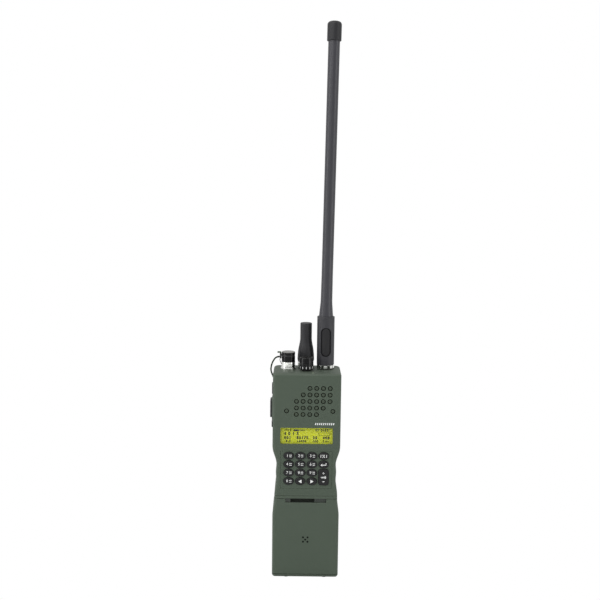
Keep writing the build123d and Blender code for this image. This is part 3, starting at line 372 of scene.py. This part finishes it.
keeperLook = {"ring": fromScreen(16, 16, 17), "tongue": fromScreen(52, 70, 46), "height": 0.2486}


def makeKeeper():
    # black ring and sleeve, green tongue on top
    material = surface("keeperBlack", looks["crimpBlack"])
    tree = material.node_tree
    shader = tree.nodes["Principled BSDF"]
    place = tree.nodes.new("ShaderNodeTexCoord")
    split = tree.nodes.new("ShaderNodeSeparateXYZ")
    tree.links.new(place.outputs["Object"], split.inputs[0])
    above = mathNode(tree, "GREATER_THAN", split.outputs["Z"], keeperLook["height"])
    colour = mixColours(tree, above, keeperLook["ring"], keeperLook["tongue"])
    tree.links.new(colour, shader.inputs["Base Color"])
    return material


materials["lcdPanel"] = makeLcd()
materials["clearWindow"] = makeWindow()
materials["keeperBlack"] = makeKeeper()

nodeFinish = {
    "olivePaint": ["front_housing", "rear_cover", "bottom_plate", "keypad_plate", "battery_case",
                   "battery_base"],
    "oliveRubber": ["speaker_baffle"],
    "blackRubber": ["ptt_button", "squelch_button", "volume_rocker", "antenna_tip", "gps_antenna"],
    "gripRubber": ["antenna_grip"],
    "whipJacket": ["antenna_whip"],
    "keyRubber": [name for name in nodes if name.startswith("key_")],
    "gasketRubber": ["cover_gasket", "antenna_seal", "gps_seal"],
    "blackPlastic": ["channel_knob", "channel_switch", "speaker", "microphone", "audio_contacts"],
    "capAnodised": ["dust_cap"],
    "brightPlate": ["audio_connector", "antenna_connector", "antenna_collar", "gps_connector", "gps_collar"],
    "dullSteel": ["case_screws", "channel_shaft", "lanyard_screw", "latch_spring"],
    "goldPlate": ["contact_pins"],
    "tinPlate": ["rf_shield"],
    "solderMask": ["keypad_board", "main_board", "side_switch_board", "battery_board"],
    "cellWrap": ["battery_cells"],
    "latchGrey": ["battery_latch"],
    "lensGreen": ["status_lens"],
    "wireCoat": ["cap_lanyard"],
    "keeperBlack": ["cap_keeper"],
    "lcdPanel": ["display_module"],
    "clearWindow": ["display_window"],
}
for finish, members in nodeFinish.items():
    for name in members:
        data = nodes[name].data
        data.materials.clear()
        data.materials.append(materials[finish])
bare = sorted(set(nodes) - {name for members in nodeFinish.values() for name in members})
print("nodes without a finish:", bare)

lanyardLook = {"radius": 0.86 * mm, "strands": 6, "twist": 420.0, "relief": 0.1, "around": 36, "steps": 160,
               "anchored": 30, "held": 8}
lanyardPoints = [(-30.35, 0.0, 244.2), (-34.0, 0.0, 244.2), (-37.3, -4.2, 240.6), (-39.2, -7.2, 236.2),
                 (-39.8, -8.6, 231.2), (-38.7, -7.2, 226.8), (-37.95, -3.2, 224.0), (-37.95, 0.6, 223.2)]


def splineLine(points, name):
    # the smooth line of a route, read back from its own NURBS spline
    curve = bpy.data.curves.new(name, "CURVE")
    curve.dimensions = "3D"
    curve.resolution_u = 24
    spline = curve.splines.new("NURBS")
    spline.points.add(len(points) - 1)
    for place, point in zip(spline.points, points):
        place.co = (point[0] * mm, point[1] * mm, point[2] * mm, 1.0)
    spline.order_u = 3
    spline.use_endpoint_u = True
    holder = bpy.data.objects.new(name, curve)
    bpy.context.scene.collection.objects.link(holder)
    mesh = bpy.data.meshes.new_from_object(holder)
    line = np.array([v.co for v in mesh.vertices], float)
    bpy.data.objects.remove(holder)
    bpy.data.curves.remove(curve)
    bpy.data.meshes.remove(mesh)
    return line


def evenSteps(line, count):
    # the same line at equal steps of length
    steps = np.r_[0, np.cumsum(np.linalg.norm(np.diff(line, axis=0), axis=1))]
    wanted = np.linspace(0, steps[-1], count)
    return np.stack([np.interp(wanted, steps, line[:, i]) for i in range(3)], 1), steps[-1]


def carriedFrames(line):
    # tangent and two normals along a line, carried without twisting
    tangent = np.gradient(line, axis=0)
    tangent /= np.linalg.norm(tangent, axis=1)[:, None]
    side = np.cross(tangent[0], (0.0, 0.0, 1.0))
    side /= np.linalg.norm(side)
    sides = []
    for direction in tangent:
        side = side - direction * (side @ direction)
        side /= np.linalg.norm(side)
        sides.append(side)
    sides = np.array(sides)
    return tangent, sides, np.cross(tangent, sides)


def ropeMesh(name, line, radius, look):
    # a tube whose radius swells at each strand, the strands turning with the distance along the line
    _, side, up = carriedFrames(line)
    distance = np.r_[0, np.cumsum(np.linalg.norm(np.diff(line, axis=0), axis=1))]
    angle = np.linspace(0, 2 * math.pi, look["around"], endpoint=False)[None, :]
    phase = look["strands"] * angle - look["twist"] * distance[:, None] * math.pi
    swell = radius * (1 - look["relief"] * (0.5 - 0.5 * np.cos(phase)))
    ring = np.cos(angle)[..., None] * side[:, None, :] + np.sin(angle)[..., None] * up[:, None, :]
    points = line[:, None, :] + swell[..., None] * ring
    return gridMesh(name, points, closeV=True, capStart=True, capEnd=True)


lanyardLine, lanyardLength = evenSteps(splineLine(lanyardPoints, "lanyardRoute"), lanyardLook["steps"])
lanyardMesh = ropeMesh("lanyardWire", lanyardLine, lanyardLook["radius"], lanyardLook)
lanyard = addPiece("lanyardWire", lanyardMesh, None, materials["wireCoat"])
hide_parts("cap_lanyard")
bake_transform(lanyard)
print("lanyard length in mm:", round(lanyardLength / mm, 1))

crimpLook = {"radius": 0.98 * mm, "first": 2, "last": 13, "around": 28, "taper": 0.22, "power": 6}
tailLook = {"radius": 0.34 * mm, "around": 14, "steps": 40}
tailPoints = [(-29.6, 0.3, 243.0), (-30.3, 0.8, 241.0), (-29.9, 1.6, 239.0), (-28.9, 2.4, 237.0),
              (-28.5, 3.0, 235.6)]


def tubeMesh(name, line, radii, around):
    # a closed tube with its own radius at each step of its line
    _, side, up = carriedFrames(line)
    angle = np.linspace(0, 2 * math.pi, around, endpoint=False)[None, :, None]
    ring = np.cos(angle) * side[:, None, :] + np.sin(angle) * up[:, None, :]
    points = line[:, None, :] + np.asarray(radii)[:, None, None] * ring
    return gridMesh(name, points, closeV=True, capStart=True, capEnd=True)


def turnedMesh(name, at, profile, around):
    # a closed piece turned about a line along Y, from (radius, depth) pairs in mm, front first
    angle = np.linspace(0, 2 * math.pi, around, endpoint=False)[None, :]
    radius, depth = np.array(profile).T
    points = np.stack([at[0] + radius[:, None] * np.cos(angle), at[1] + depth[:, None] + 0 * angle,
                       at[2] - radius[:, None] * np.sin(angle)], -1) * mm
    return gridMesh(name, points, closeV=True, capStart=True, capEnd=True)


def lanyardCrimp():
    # the black sleeve over the lanyard's end at the keeper
    part = lanyardLine[crimpLook["first"]:crimpLook["last"]]
    ends = np.linspace(-1, 1, len(part))
    radii = crimpLook["radius"] * (1 - crimpLook["taper"] * np.abs(ends) ** crimpLook["power"])
    return addPiece("lanyardCrimp", tubeMesh("lanyardCrimp", part, radii, crimpLook["around"]), "cap_keeper",
                    materials["crimpBlack"])


def lanyardTail():
    # the short loose end of a strand below the crimp
    line, _ = evenSteps(splineLine(tailPoints, "tailRoute"), tailLook["steps"])
    radii = np.full(len(line), tailLook["radius"])
    return addPiece("lanyardTail", tubeMesh("lanyardTail", line, radii, tailLook["around"]), "cap_keeper",
                    materials["wireCoat"])


lanyardCrimp()
lanyardTail()

padLook = {"at": (20.2, 5.7), "middle": 261.0, "pitch": 1.25, "columns": 56, "rows": 176, "sunk": 0.3,
           "tip": 0.998}
padLayers = {
    # the groove layer is a near-black sheet on the recess floor round the pad: painted shade in the groove
    "gripGroove": {"half": (5.68, 16.12), "floor": 8.7, "face": 8.86, "relief": 0.0, "finish": "ventDarkAndShade"},
    "gripPad": {"half": (4.75, 15.2), "floor": 8.8, "face": 9.34, "relief": 0.14, "finish": "padRubber"},
}


def gripLayer(name, layer):
    # a stadium that follows the grip's round: shallow domes in rows, rounded off towards the rim
    across, along = layer["half"]
    z = along * np.sin(np.linspace(-1, 1, padLook["rows"]) * math.pi / 2)
    beyond = np.clip(np.abs(z) - (along - across), 0, across * padLook["tip"])
    width = np.sqrt(across ** 2 - beyond ** 2)
    u = np.sin(np.linspace(-1, 1, padLook["columns"]) * math.pi / 2)
    x = width[:, None] * u[None, :]
    height = np.repeat(z[:, None], padLook["columns"], 1)
    inward = (1 - np.abs(u))[None, :] * width[:, None]
    rim = np.clip(inward, 0, 1) * np.clip(along - np.abs(z), 0, 1)[:, None]
    step = 2 * math.pi / padLook["pitch"]
    domes = np.cos(step * x) * np.cos(step * height)
    rise = layer["face"] - layer["floor"]
    radius = layer["floor"] + rise * np.sqrt(rim) + layer["relief"] * domes * rim

    def wrapped(reach):
        angle = x / layer["face"]
        return np.stack([padLook["at"][0] + reach * np.sin(angle), padLook["at"][1] - reach * np.cos(angle),
                         padLook["middle"] + height], -1)

    back = wrapped(np.full_like(radius, layer["floor"] - padLook["sunk"]))[:, ::-1]
    points = np.concatenate([wrapped(radius), back], 1) * mm
    mesh = gridMesh(name, points, closeV=True, capStart=True, capEnd=True)
    return addPiece(name, mesh, "antenna", materials[layer["finish"]])


for name, layer in padLayers.items():
    gripLayer(name, layer)

ventLook = {"middle": 44.2, "spread": 2.5, "around": 24,
            "profile": [(1.1, -0.02), (1.1, 0.0), (0.64, 0.0), (0.64, 1.4)]}


def ventPlugs():
    # a dark membrane plug in each vent of the battery
    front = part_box("battery_case")[0].y / mm
    for i, (dx, dz) in enumerate(((0, 0), (-1, -1), (-1, 1), (1, -1), (1, 1))):
        x, z = dx * ventLook["spread"], ventLook["middle"] + dz * ventLook["spread"]
        mesh = turnedMesh("ventPlug%d" % i, (x, front, z), ventLook["profile"], ventLook["around"])
        addPiece("ventPlug%d" % i, mesh, "battery", materials["ventDarkAndShade"], smooth=False)


ventPlugs()

notchLook = {"at": (20.2, 5.7), "count": 8, "reach": 11.15, "radius": 2.6, "half": 36.0, "low": 231.3,
             "high": 234.7, "around": 9, "sheet": 0.04, "sunk": 0.1}


def notchShades():
    # painted shade: dark sheets on the floors of the notches in the antenna's nut, arcs about each notch's
    # own axis
    half = math.radians(notchLook["half"])
    turn = np.linspace(-half, half, notchLook["around"])
    for i in range(notchLook["count"]):
        out = 2 * math.pi * (i + 0.5) / notchLook["count"]
        middle = np.array(notchLook["at"]) + notchLook["reach"] * np.array((math.cos(out), math.sin(out)))
        face, back = notchLook["radius"] - notchLook["sheet"], notchLook["radius"] + notchLook["sunk"]
        angle = out + np.r_[turn, turn[::-1]]
        radius = np.repeat((face, back), len(turn))[:, None]
        loop = middle - radius * np.stack([np.cos(angle), np.sin(angle)], 1)
        rows = [np.column_stack([loop, np.full(len(loop), z)]) for z in (notchLook["high"], notchLook["low"])]
        mesh = gridMesh("notchShade%d" % i, np.stack(rows) * mm, closeV=True, capStart=True, capEnd=True)
        addPiece("notchShade%d" % i, mesh, "antenna", materials["paintedShadeDark"], smooth=False)


notchShades()

slotLook = {"left": -16.75, "right": 22.3, "lip": 1.7, "deep": 4.56, "floor": 86.22, "top": 90.9,
            "sheet": 0.05, "stop": (-22.36, -16.82), "recess": 1.5}
grooveLook = {"low": 3.87, "high": 4.43, "inset": 0.15, "deep": 0.95, "front corner": 3.6, "rear corner": 7.0,
              "corner": 12}


def slotShadeLiner():
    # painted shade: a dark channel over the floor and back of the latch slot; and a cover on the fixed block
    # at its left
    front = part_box("battery_case")[0].y / mm
    lip, back = front + slotLook["lip"], front + slotLook["deep"]
    low, high, sheet = slotLook["floor"], slotLook["top"], slotLook["sheet"]
    section = [(lip, low), (back, low), (back, high), (back - sheet, high), (back - sheet, low + sheet),
               (lip, low + sheet)]
    rows = [[(x, y, z) for y, z in section] for x in (slotLook["left"], slotLook["right"])]
    mesh = gridMesh("slotShadeLiner", np.array(rows) * mm, closeV=True, capStart=True, capEnd=True)
    addPiece("slotShadeLiner", mesh, "battery", materials["paintedShadeDark"], smooth=False)
    left, right = slotLook["stop"]
    face = front + slotLook["recess"]
    loop = [(left, low), (right, low), (right, high), (left, high)]
    rows = [[(x, y, z) for x, z in loop] for y in (face + sheet, face - sheet)]
    mesh = gridMesh("slotStop", np.array(rows) * mm, closeV=True, capStart=True, capEnd=True)
    addPiece("slotStop", mesh, "battery", materials["latchGrey"], smooth=False)


def caseOutline(inset):
    # the case's outline seen from above, inset evenly: four corner arcs, wider at the back
    low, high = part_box("battery_base")
    turn = np.linspace(0, math.pi / 2, grooveLook["corner"])
    points = []
    corners = ((high.x, high.y, "rear corner"), (low.x, high.y, "rear corner"),
               (low.x, low.y, "front corner"), (high.x, low.y, "front corner"))
    for quarter, (x, y, which) in enumerate(corners):
        corner = grooveLook[which] * mm
        centre = (x - math.copysign(corner, x), y - math.copysign(corner, y))
        angle = turn + quarter * math.pi / 2
        reach = corner - inset * mm
        points.append(np.stack([centre[0] + reach * np.cos(angle), centre[1] + reach * np.sin(angle)], 1))
    return np.concatenate(points)


def grooveSeal():
    # a dark seal in the seam above the bottom cap
    outer, inner = caseOutline(grooveLook["inset"]), caseOutline(grooveLook["deep"])
    low, high = grooveLook["low"] * mm, grooveLook["high"] * mm
    rings = [(outer, low), (outer, high), (inner, high), (inner, low)]
    points = np.stack([np.column_stack([ring, np.full(len(ring), z)]) for ring, z in rings])
    mesh = gridMesh("grooveSeal", points, closeU=True, closeV=True)
    addPiece("grooveSeal", mesh, "battery", materials["ventDarkAndShade"], smooth=False)


slotShadeLiner()
grooveSeal()

portLook = {"pitch": 7.25, "left": -11.3, "top": 214.3, "rows": [(2, 5), (1, 5), (0, 5), (0, 4), (0, 3)],
            "alone": [(-22.0, 189.1), (28.3, 189.1)], "around": 40,
            "profile": [(1.3, 0.2), (1.62, 0.26), (1.76, 0.42), (1.76, 1.6)]}


def portCaps():
    # a rubber button on the peg of each speaker port
    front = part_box("keypad_plate")[0].y / mm
    places = [(portLook["left"] + column * portLook["pitch"], portLook["top"] - row * portLook["pitch"])
              for row, (first, last) in enumerate(portLook["rows"]) for column in range(first, last + 1)]
    for i, (x, z) in enumerate(places + portLook["alone"]):
        mesh = turnedMesh("portCap%d" % i, (x, front, z), portLook["profile"], portLook["around"])
        addPiece("portCap%d" % i, mesh, "radio", materials["oliveRubber"], smooth=False)


portCaps()

tickLook = {"at": (-1.0, -5.7), "radius": 7.7, "turns": (-150, -120, -90, -60, -30), "half": 0.36,
            "low": 233.0, "high": 235.4, "thick": 0.05, "sunk": 0.1, "around": 6}


def knobTicks():
    # white ticks on the lands of the knob's skirt: index marks, partly painted highlights of the flutes
    for i, turn in enumerate(tickLook["turns"]):
        half = tickLook["half"] / tickLook["radius"]
        angle = math.radians(turn) + np.linspace(-half, half, tickLook["around"])
        angle = np.r_[angle, angle[::-1]]
        inner, outer = tickLook["radius"] - tickLook["sunk"], tickLook["radius"] + tickLook["thick"]
        radius = np.repeat((outer, inner), tickLook["around"])[:, None]
        loop = np.array(tickLook["at"]) + radius * np.stack([np.cos(angle), np.sin(angle)], 1)
        rows = [np.column_stack([loop, np.full(len(loop), z)]) for z in (tickLook["low"], tickLook["high"])]
        mesh = gridMesh("knobTick%d" % i, np.stack(rows) * mm, closeV=True, capStart=True, capEnd=True)
        addPiece("knobTick%d" % i, mesh, "knob", materials["legendWhite"], smooth=False)


knobTicks()
print("trim of lanyard, grip, vents, ports and knob made")


def textShape(text, size, middle, bold=0.0, spread=1.0):
    # flat letters facing -Y, centred at (x, z), as vertices and faces
    curve = bpy.data.curves.new("print", "FONT")
    curve.body = text
    curve.size = size
    curve.align_x = "CENTER"
    curve.align_y = "CENTER"
    curve.offset = bold
    curve.space_character = spread
    curve.resolution_u = 3
    holder = bpy.data.objects.new("print", curve)
    bpy.context.scene.collection.objects.link(holder)
    mesh = bpy.data.meshes.new_from_object(holder)
    points = np.array([v.co for v in mesh.vertices], float).reshape(-1, 3)
    faces = [list(p.vertices) for p in mesh.polygons]
    bpy.data.objects.remove(holder)
    bpy.data.curves.remove(curve)
    bpy.data.meshes.remove(mesh)
    flat = np.stack([points[:, 0] + middle[0], points[:, 1] + middle[1]], 1)
    return flat, faces


def barShape(middle, width, height, slant=0.0):
    # a bar about (x, z) whose top and bottom shift by the slant each way
    x, z = middle
    dx, dz = width / 2, height / 2
    flat = [(x - dx - slant, z - dz), (x + dx - slant, z - dz),
            (x + dx + slant, z + dz), (x - dx + slant, z + dz)]
    return np.array(flat), [[0, 1, 2, 3]]


def polygonShape(middle, points):
    # a filled outline, its points in mm from the middle
    return np.array(points) * mm + np.array(middle), [list(range(len(points)))]


def printPiece(name, shapes, y, body, material, thickness=0.03 * mm):
    # thin closed slabs: each flat shape with its own back face and rim
    vertices, faces = [], []
    for flat, outline in shapes:
        base = len(vertices)
        count = len(flat)
        vertices += [(x, y, z) for x, z in flat] + [(x, y + thickness, z) for x, z in flat]
        rim = {}
        for face in outline:
            faces.append([base + i for i in face])
            faces.append([base + count + i for i in reversed(face)])
            for a, b in zip(face, face[1:] + face[:1]):
                rim[(a, b)] = True
        for a, b in rim:
            if (b, a) not in rim:
                faces.append([base + b, base + a, base + count + a, base + count + b])
    mesh = bpy.data.meshes.new(name)
    mesh.from_pydata(vertices, [], faces)
    mesh.update()
    return addPiece(name, mesh, body, material, smooth=False)


legendLook = {
    "digit": 4.2 * mm, "bold": 0.03 * mm, "lift": 0.02 * mm, "digit at": (-1.5, 0.3),
    # right-pointing triangle, then bars as (x, z, width, height, slant), in mm from the key's middle
    "arrow": [(-1.5, -2.1), (1.9, 0), (-1.5, 2.1)],
    "clear": [(0, 0, 0.7, 3.6, 1.3), (0, 0, 0.7, 3.6, -1.3), (-3.1, 0, 0.6, 3.2, 0), (3.1, 0, 0.6, 3.2, 0)],
    "enter": [(0.6, -0.4, 4.6, 0.8, 0), (2.6, 0.9, 0.8, 2.0, 0)],
    "enter head": [(-1.4, 1.2), (-3.4, -0.4), (-1.4, -2.0)],
    "small": [(1.0, 1.0, 0.55, 1.1, 0), (1.9, 1.0, 0.55, 1.1, 0), (2.8, 1.0, 0.55, 1.1, 0),
              (1.9, -0.9, 2.6, 0.55, 0)],
    "preset": [(0, 4.6, 2.2, 0.7, 0), (0, 4.6, 0.7, 2.2, 0), (0, -4.8, 2.2, 0.8, 0), (-2.25, 0, 0.9, 1.2, 0),
               (-0.75, 0, 0.9, 1.7, 0), (0.75, 0, 0.9, 2.2, 0), (2.25, 0, 0.9, 2.7, 0)],
}


def barSet(middle, bars):
    return [barShape((middle[0] + x * mm, middle[1] + z * mm), width * mm, height * mm, slant * mm)
            for x, z, width, height, slant in bars]


def keyLegend(name):
    # the white print on a key: an arrow, a generic icon, or a digit beside small bars
    low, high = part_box(name)
    middle = (low.x + high.x) / 2, (low.z + high.z) / 2
    label = name[4:]
    if label == "left":
        shapes = [polygonShape(middle, [(-x, -z) for x, z in legendLook["arrow"]])]
    elif label == "right":
        shapes = [polygonShape(middle, legendLook["arrow"])]
    elif label in ("clear", "preset"):
        shapes = barSet(middle, legendLook[label])
    elif label == "enter":
        shapes = barSet(middle, legendLook["enter"]) + [polygonShape(middle, legendLook["enter head"])]
    else:
        dx, dz = legendLook["digit at"]
        place = middle[0] + dx * mm, middle[1] + dz * mm
        shapes = [textShape(label, legendLook["digit"], place, legendLook["bold"])]
        shapes += barSet(middle, legendLook["small"])
    face = low.y - legendLook["lift"]
    return printPiece("legend_" + label, shapes, face, name, materials["legendWhite"])


keyNames = sorted(name for name in nodes if name.startswith("key_") and name != "key_preset") + ["key_preset"]
for name in keyNames:
    keyLegend(name)
print("key legends made:", len(keyNames))

displayLook = {
    "rows": (5.4, 1.5, -2.9, -6.8), "digit": 4.1 * mm, "small": 3.3 * mm, "name": 4.5 * mm,
    "bold": 0.24 * mm, "thin": 0.16 * mm, "wide": 1.3, "recess": 0.4 * mm, "lift": 0.04 * mm,
    # text as (words, x) and bars as (x, z from the row, width, height, slant), in mm from the middle
    "signal": [(-23.8, 0, 0.6, 0.7, 0), (-22.9, 0.18, 0.6, 1.06, 0), (-22.0, 0.36, 0.6, 1.42, 0),
               (-21.1, 0.54, 0.6, 1.78, 0)],
    "charge": [(-11.2, 0, 6.2, 1.8, 0)], "charge steps": 7, "charge first": -7.2, "charge bar": (0.5, 1.4),
    "frame": [(19.6, 1.3, 12.4, 0.4, 0), (19.6, -1.3, 12.4, 0.4, 0), (13.4, 0, 0.4, 2.6, 0),
              (25.8, 0, 0.4, 2.6, 0)],
    "step": 0.9, "status": [("12", -18.4), ("07 0035", 16.6)], "channel": "4015", "channel first": -23.4,
    "channel step": 4.6, "large row": [("001", -20.6), ("83175", -4.4), ("25", 9.4), ("408", 21.4)],
    "small row": [("9-2", -20.0), ("16000", -5.4), ("100", 9.6), ("5", 18.6)],
    "fade first": 20.8, "fade": (1.9, 1.6, 1.3, 1.0, 0.7), "fade width": 0.6,
}


def displayMarks():
    # signal, charge, time, channel and level marks in four rows, with nothing but digits and bars
    look = displayLook
    low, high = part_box("display_window")
    x, z = (low.x + high.x) / 2, (low.z + high.z) / 2
    top, second, third, bottom = [(x, z + row * mm) for row in look["rows"]]

    def words(row, text, at, size, bold, spread=1.0):
        return textShape(text, look[size], (row[0] + at * mm, row[1]), look[bold], spread)

    width, height = look["charge bar"]
    steps = [(look["charge first"] + look["step"] * i, 0, width, height, 0)
             for i in range(look["charge steps"])]
    fade = [(look["fade first"] + look["step"] * i, 0, look["fade width"], size, 0)
            for i, size in enumerate(look["fade"])]
    shapes = barSet(top, look["signal"] + look["charge"] + steps) + barSet(second, look["frame"])
    shapes += [words(top, text, at, "small", "thin", look["wide"]) for text, at in look["status"]]
    shapes += [words(second, digit, look["channel first"] + look["channel step"] * i, "name", "bold")
               for i, digit in enumerate(look["channel"])]
    shapes += [words(third, text, at, "digit", "bold", look["wide"]) for text, at in look["large row"]]
    shapes += [words(bottom, text, at, "small", "thin", look["wide"]) for text, at in look["small row"]]
    shapes += barSet(bottom, fade)
    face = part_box("display_module")[0].y + look["recess"]
    return printPiece("displayMarks", shapes, face - look["lift"], "radio", materials["lcdInk"])


displayMarks()

markLook = {"left": 8.7, "right": 30.3, "bottom": 173.9, "top": 176.2, "count": 10, "slant": 0.25,
            "lift": 0.03, "share": 0.5}


def frontMark():
    # a plain row of slanted bars where a maker would print a name
    step = (markLook["right"] - markLook["left"]) / markLook["count"]
    height = markLook["top"] - markLook["bottom"]
    bars = [(markLook["left"] + (i + 0.5) * step, 0, markLook["share"] * step, height, markLook["slant"])
            for i in range(markLook["count"])]
    middle = 0, (markLook["bottom"] + markLook["top"]) / 2 * mm
    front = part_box("keypad_plate")[0].y - markLook["lift"] * mm
    return printPiece("frontMark", barSet(middle, bars), front, "radio", materials["legendWhite"])


frontMark()
print("display and front mark made")

studio = {"lens": 49.2, "back": 866.0, "height": 415.0, "side": -8.7, "pitch": 6.9, "roll": 0.64,
          "front": 0.09, "side light": 0.65, "behind": 0.5, "top": 1.25, "below": 0.4, "key": 15.0,
          "strip": 3.0, "side power": 3.0, "floor": (0.8, 0.8, 0.8, 1), "floor reach": 12.0,
          "floor rough": 0.9, "floor specular": 0.1, "sensor": 36.0, "clip": (0.01, 100.0)}
lamps = {  # place, target and size in metres, and the studio value that gives the power
    "keyLight": ((-0.75, -1.3, 1.5), (0, 0, 0.22), (1.0, 1.0), "key"),
    "leftStrip": ((-0.9, -0.35, 0.4), (0, 0, 0.3), (0.25, 1.2), "strip"),
    "rightStrip": ((0.9, -0.5, 0.4), (0, 0, 0.3), (0.2, 1.2), "strip"),
}


def areaLight(name, place, target, size, power):
    # a rectangular softbox turned towards its target
    data = bpy.data.lights.new(name, "AREA")
    data.shape = "RECTANGLE"
    data.size, data.size_y = size
    data.energy = power
    lamp = bpy.data.objects.new(name, data)
    bpy.context.scene.collection.objects.link(lamp)
    lamp.location = place
    lamp.rotation_euler = (Vector(target) - Vector(place)).to_track_quat("-Z", "Y").to_euler()
    return lamp


def makeFloor():
    # plain white to the camera, an ordinary pale floor to the light that the part receives from it
    material, tree, shader = newMaterial("paleFloor")
    shader.inputs["Base Color"].default_value = studio["floor"]
    shader.inputs["Roughness"].default_value = studio["floor rough"]
    shader.inputs["Specular IOR Level"].default_value = studio["floor specular"]
    white = tree.nodes.new("ShaderNodeEmission")
    rays = tree.nodes.new("ShaderNodeLightPath")
    choice = tree.nodes.new("ShaderNodeMixShader")
    tree.links.new(rays.outputs["Is Camera Ray"], choice.inputs[0])
    tree.links.new(shader.outputs[0], choice.inputs[1])
    tree.links.new(white.outputs[0], choice.inputs[2])
    tree.links.new(choice.outputs[0], tree.nodes["Material Output"].inputs["Surface"])
    reach = studio["floor reach"]
    corners = [(-reach, -reach, 0), (reach, -reach, 0), (reach, reach, 0), (-reach, reach, 0)]
    mesh = bpy.data.meshes.new("floor")
    mesh.from_pydata(corners, [], [(0, 1, 2, 3)])
    floor = bpy.data.objects.new("floor", mesh)
    bpy.context.scene.collection.objects.link(floor)
    mesh.materials.append(material)


def makeCamera():
    # in front and a little above, looking slightly down
    low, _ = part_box("keypad_plate")
    data = bpy.data.cameras.new("camera")
    data.sensor_width = studio["sensor"]
    data.lens = studio["lens"]
    data.clip_start, data.clip_end = studio["clip"]
    camera = bpy.data.objects.new("camera", data)
    bpy.context.scene.collection.objects.link(camera)
    tilt = Matrix.Rotation(math.radians(90 - studio["pitch"]), 4, "X")
    turn = tilt @ Matrix.Rotation(math.radians(studio["roll"]), 4, "Z")
    place = Matrix.Translation((studio["side"] * mm, low.y - studio["back"] * mm, studio["height"] * mm))
    camera.matrix_world = place @ turn
    bpy.context.scene.camera = camera


def makeWorld():
    # white to the camera; to the part, a dark front with bright sides and top, as between two softboxes
    world = bpy.data.worlds.new("studio")
    bpy.context.scene.world = world
    world.use_nodes = True
    tree = world.node_tree
    seen = tree.nodes["Background"]
    seen.inputs["Color"].default_value = (1, 1, 1, 1)
    lit = tree.nodes.new("ShaderNodeBackground")
    place = tree.nodes.new("ShaderNodeTexCoord")
    split = tree.nodes.new("ShaderNodeSeparateXYZ")
    tree.links.new(place.outputs["Generated"], split.inputs[0])
    sideways = mathNode(tree, "ABSOLUTE", split.outputs["X"])
    rise = mathNode(tree, "POWER", sideways, studio["side power"])
    sides = mathNode(tree, "MULTIPLY", rise, studio["side light"])
    over = mathNode(tree, "MULTIPLY", split.outputs["Z"], studio["top"], clamp=True)
    under = mathNode(tree, "MULTIPLY", split.outputs["Z"], -studio["below"], clamp=True)
    behind = mathNode(tree, "MULTIPLY", split.outputs["Y"], studio["behind"], clamp=True)
    total = mathNode(tree, "ADD", mathNode(tree, "ADD", sides, over), mathNode(tree, "ADD", under, behind))
    tree.links.new(mathNode(tree, "ADD", total, studio["front"]), lit.inputs["Strength"])
    rays = tree.nodes.new("ShaderNodeLightPath")
    choice = tree.nodes.new("ShaderNodeMixShader")
    tree.links.new(rays.outputs["Is Camera Ray"], choice.inputs[0])
    tree.links.new(lit.outputs[0], choice.inputs[1])
    tree.links.new(seen.outputs[0], choice.inputs[2])
    tree.links.new(choice.outputs[0], tree.nodes["World Output"].inputs["Surface"])


def makeLight():
    makeWorld()
    for name, (place, target, size, power) in lamps.items():
        areaLight(name, place, target, size, studio[power])
    bpy.context.scene.view_settings.view_transform = "Standard"


makeFloor()
makeCamera()
makeLight()
print("studio made")
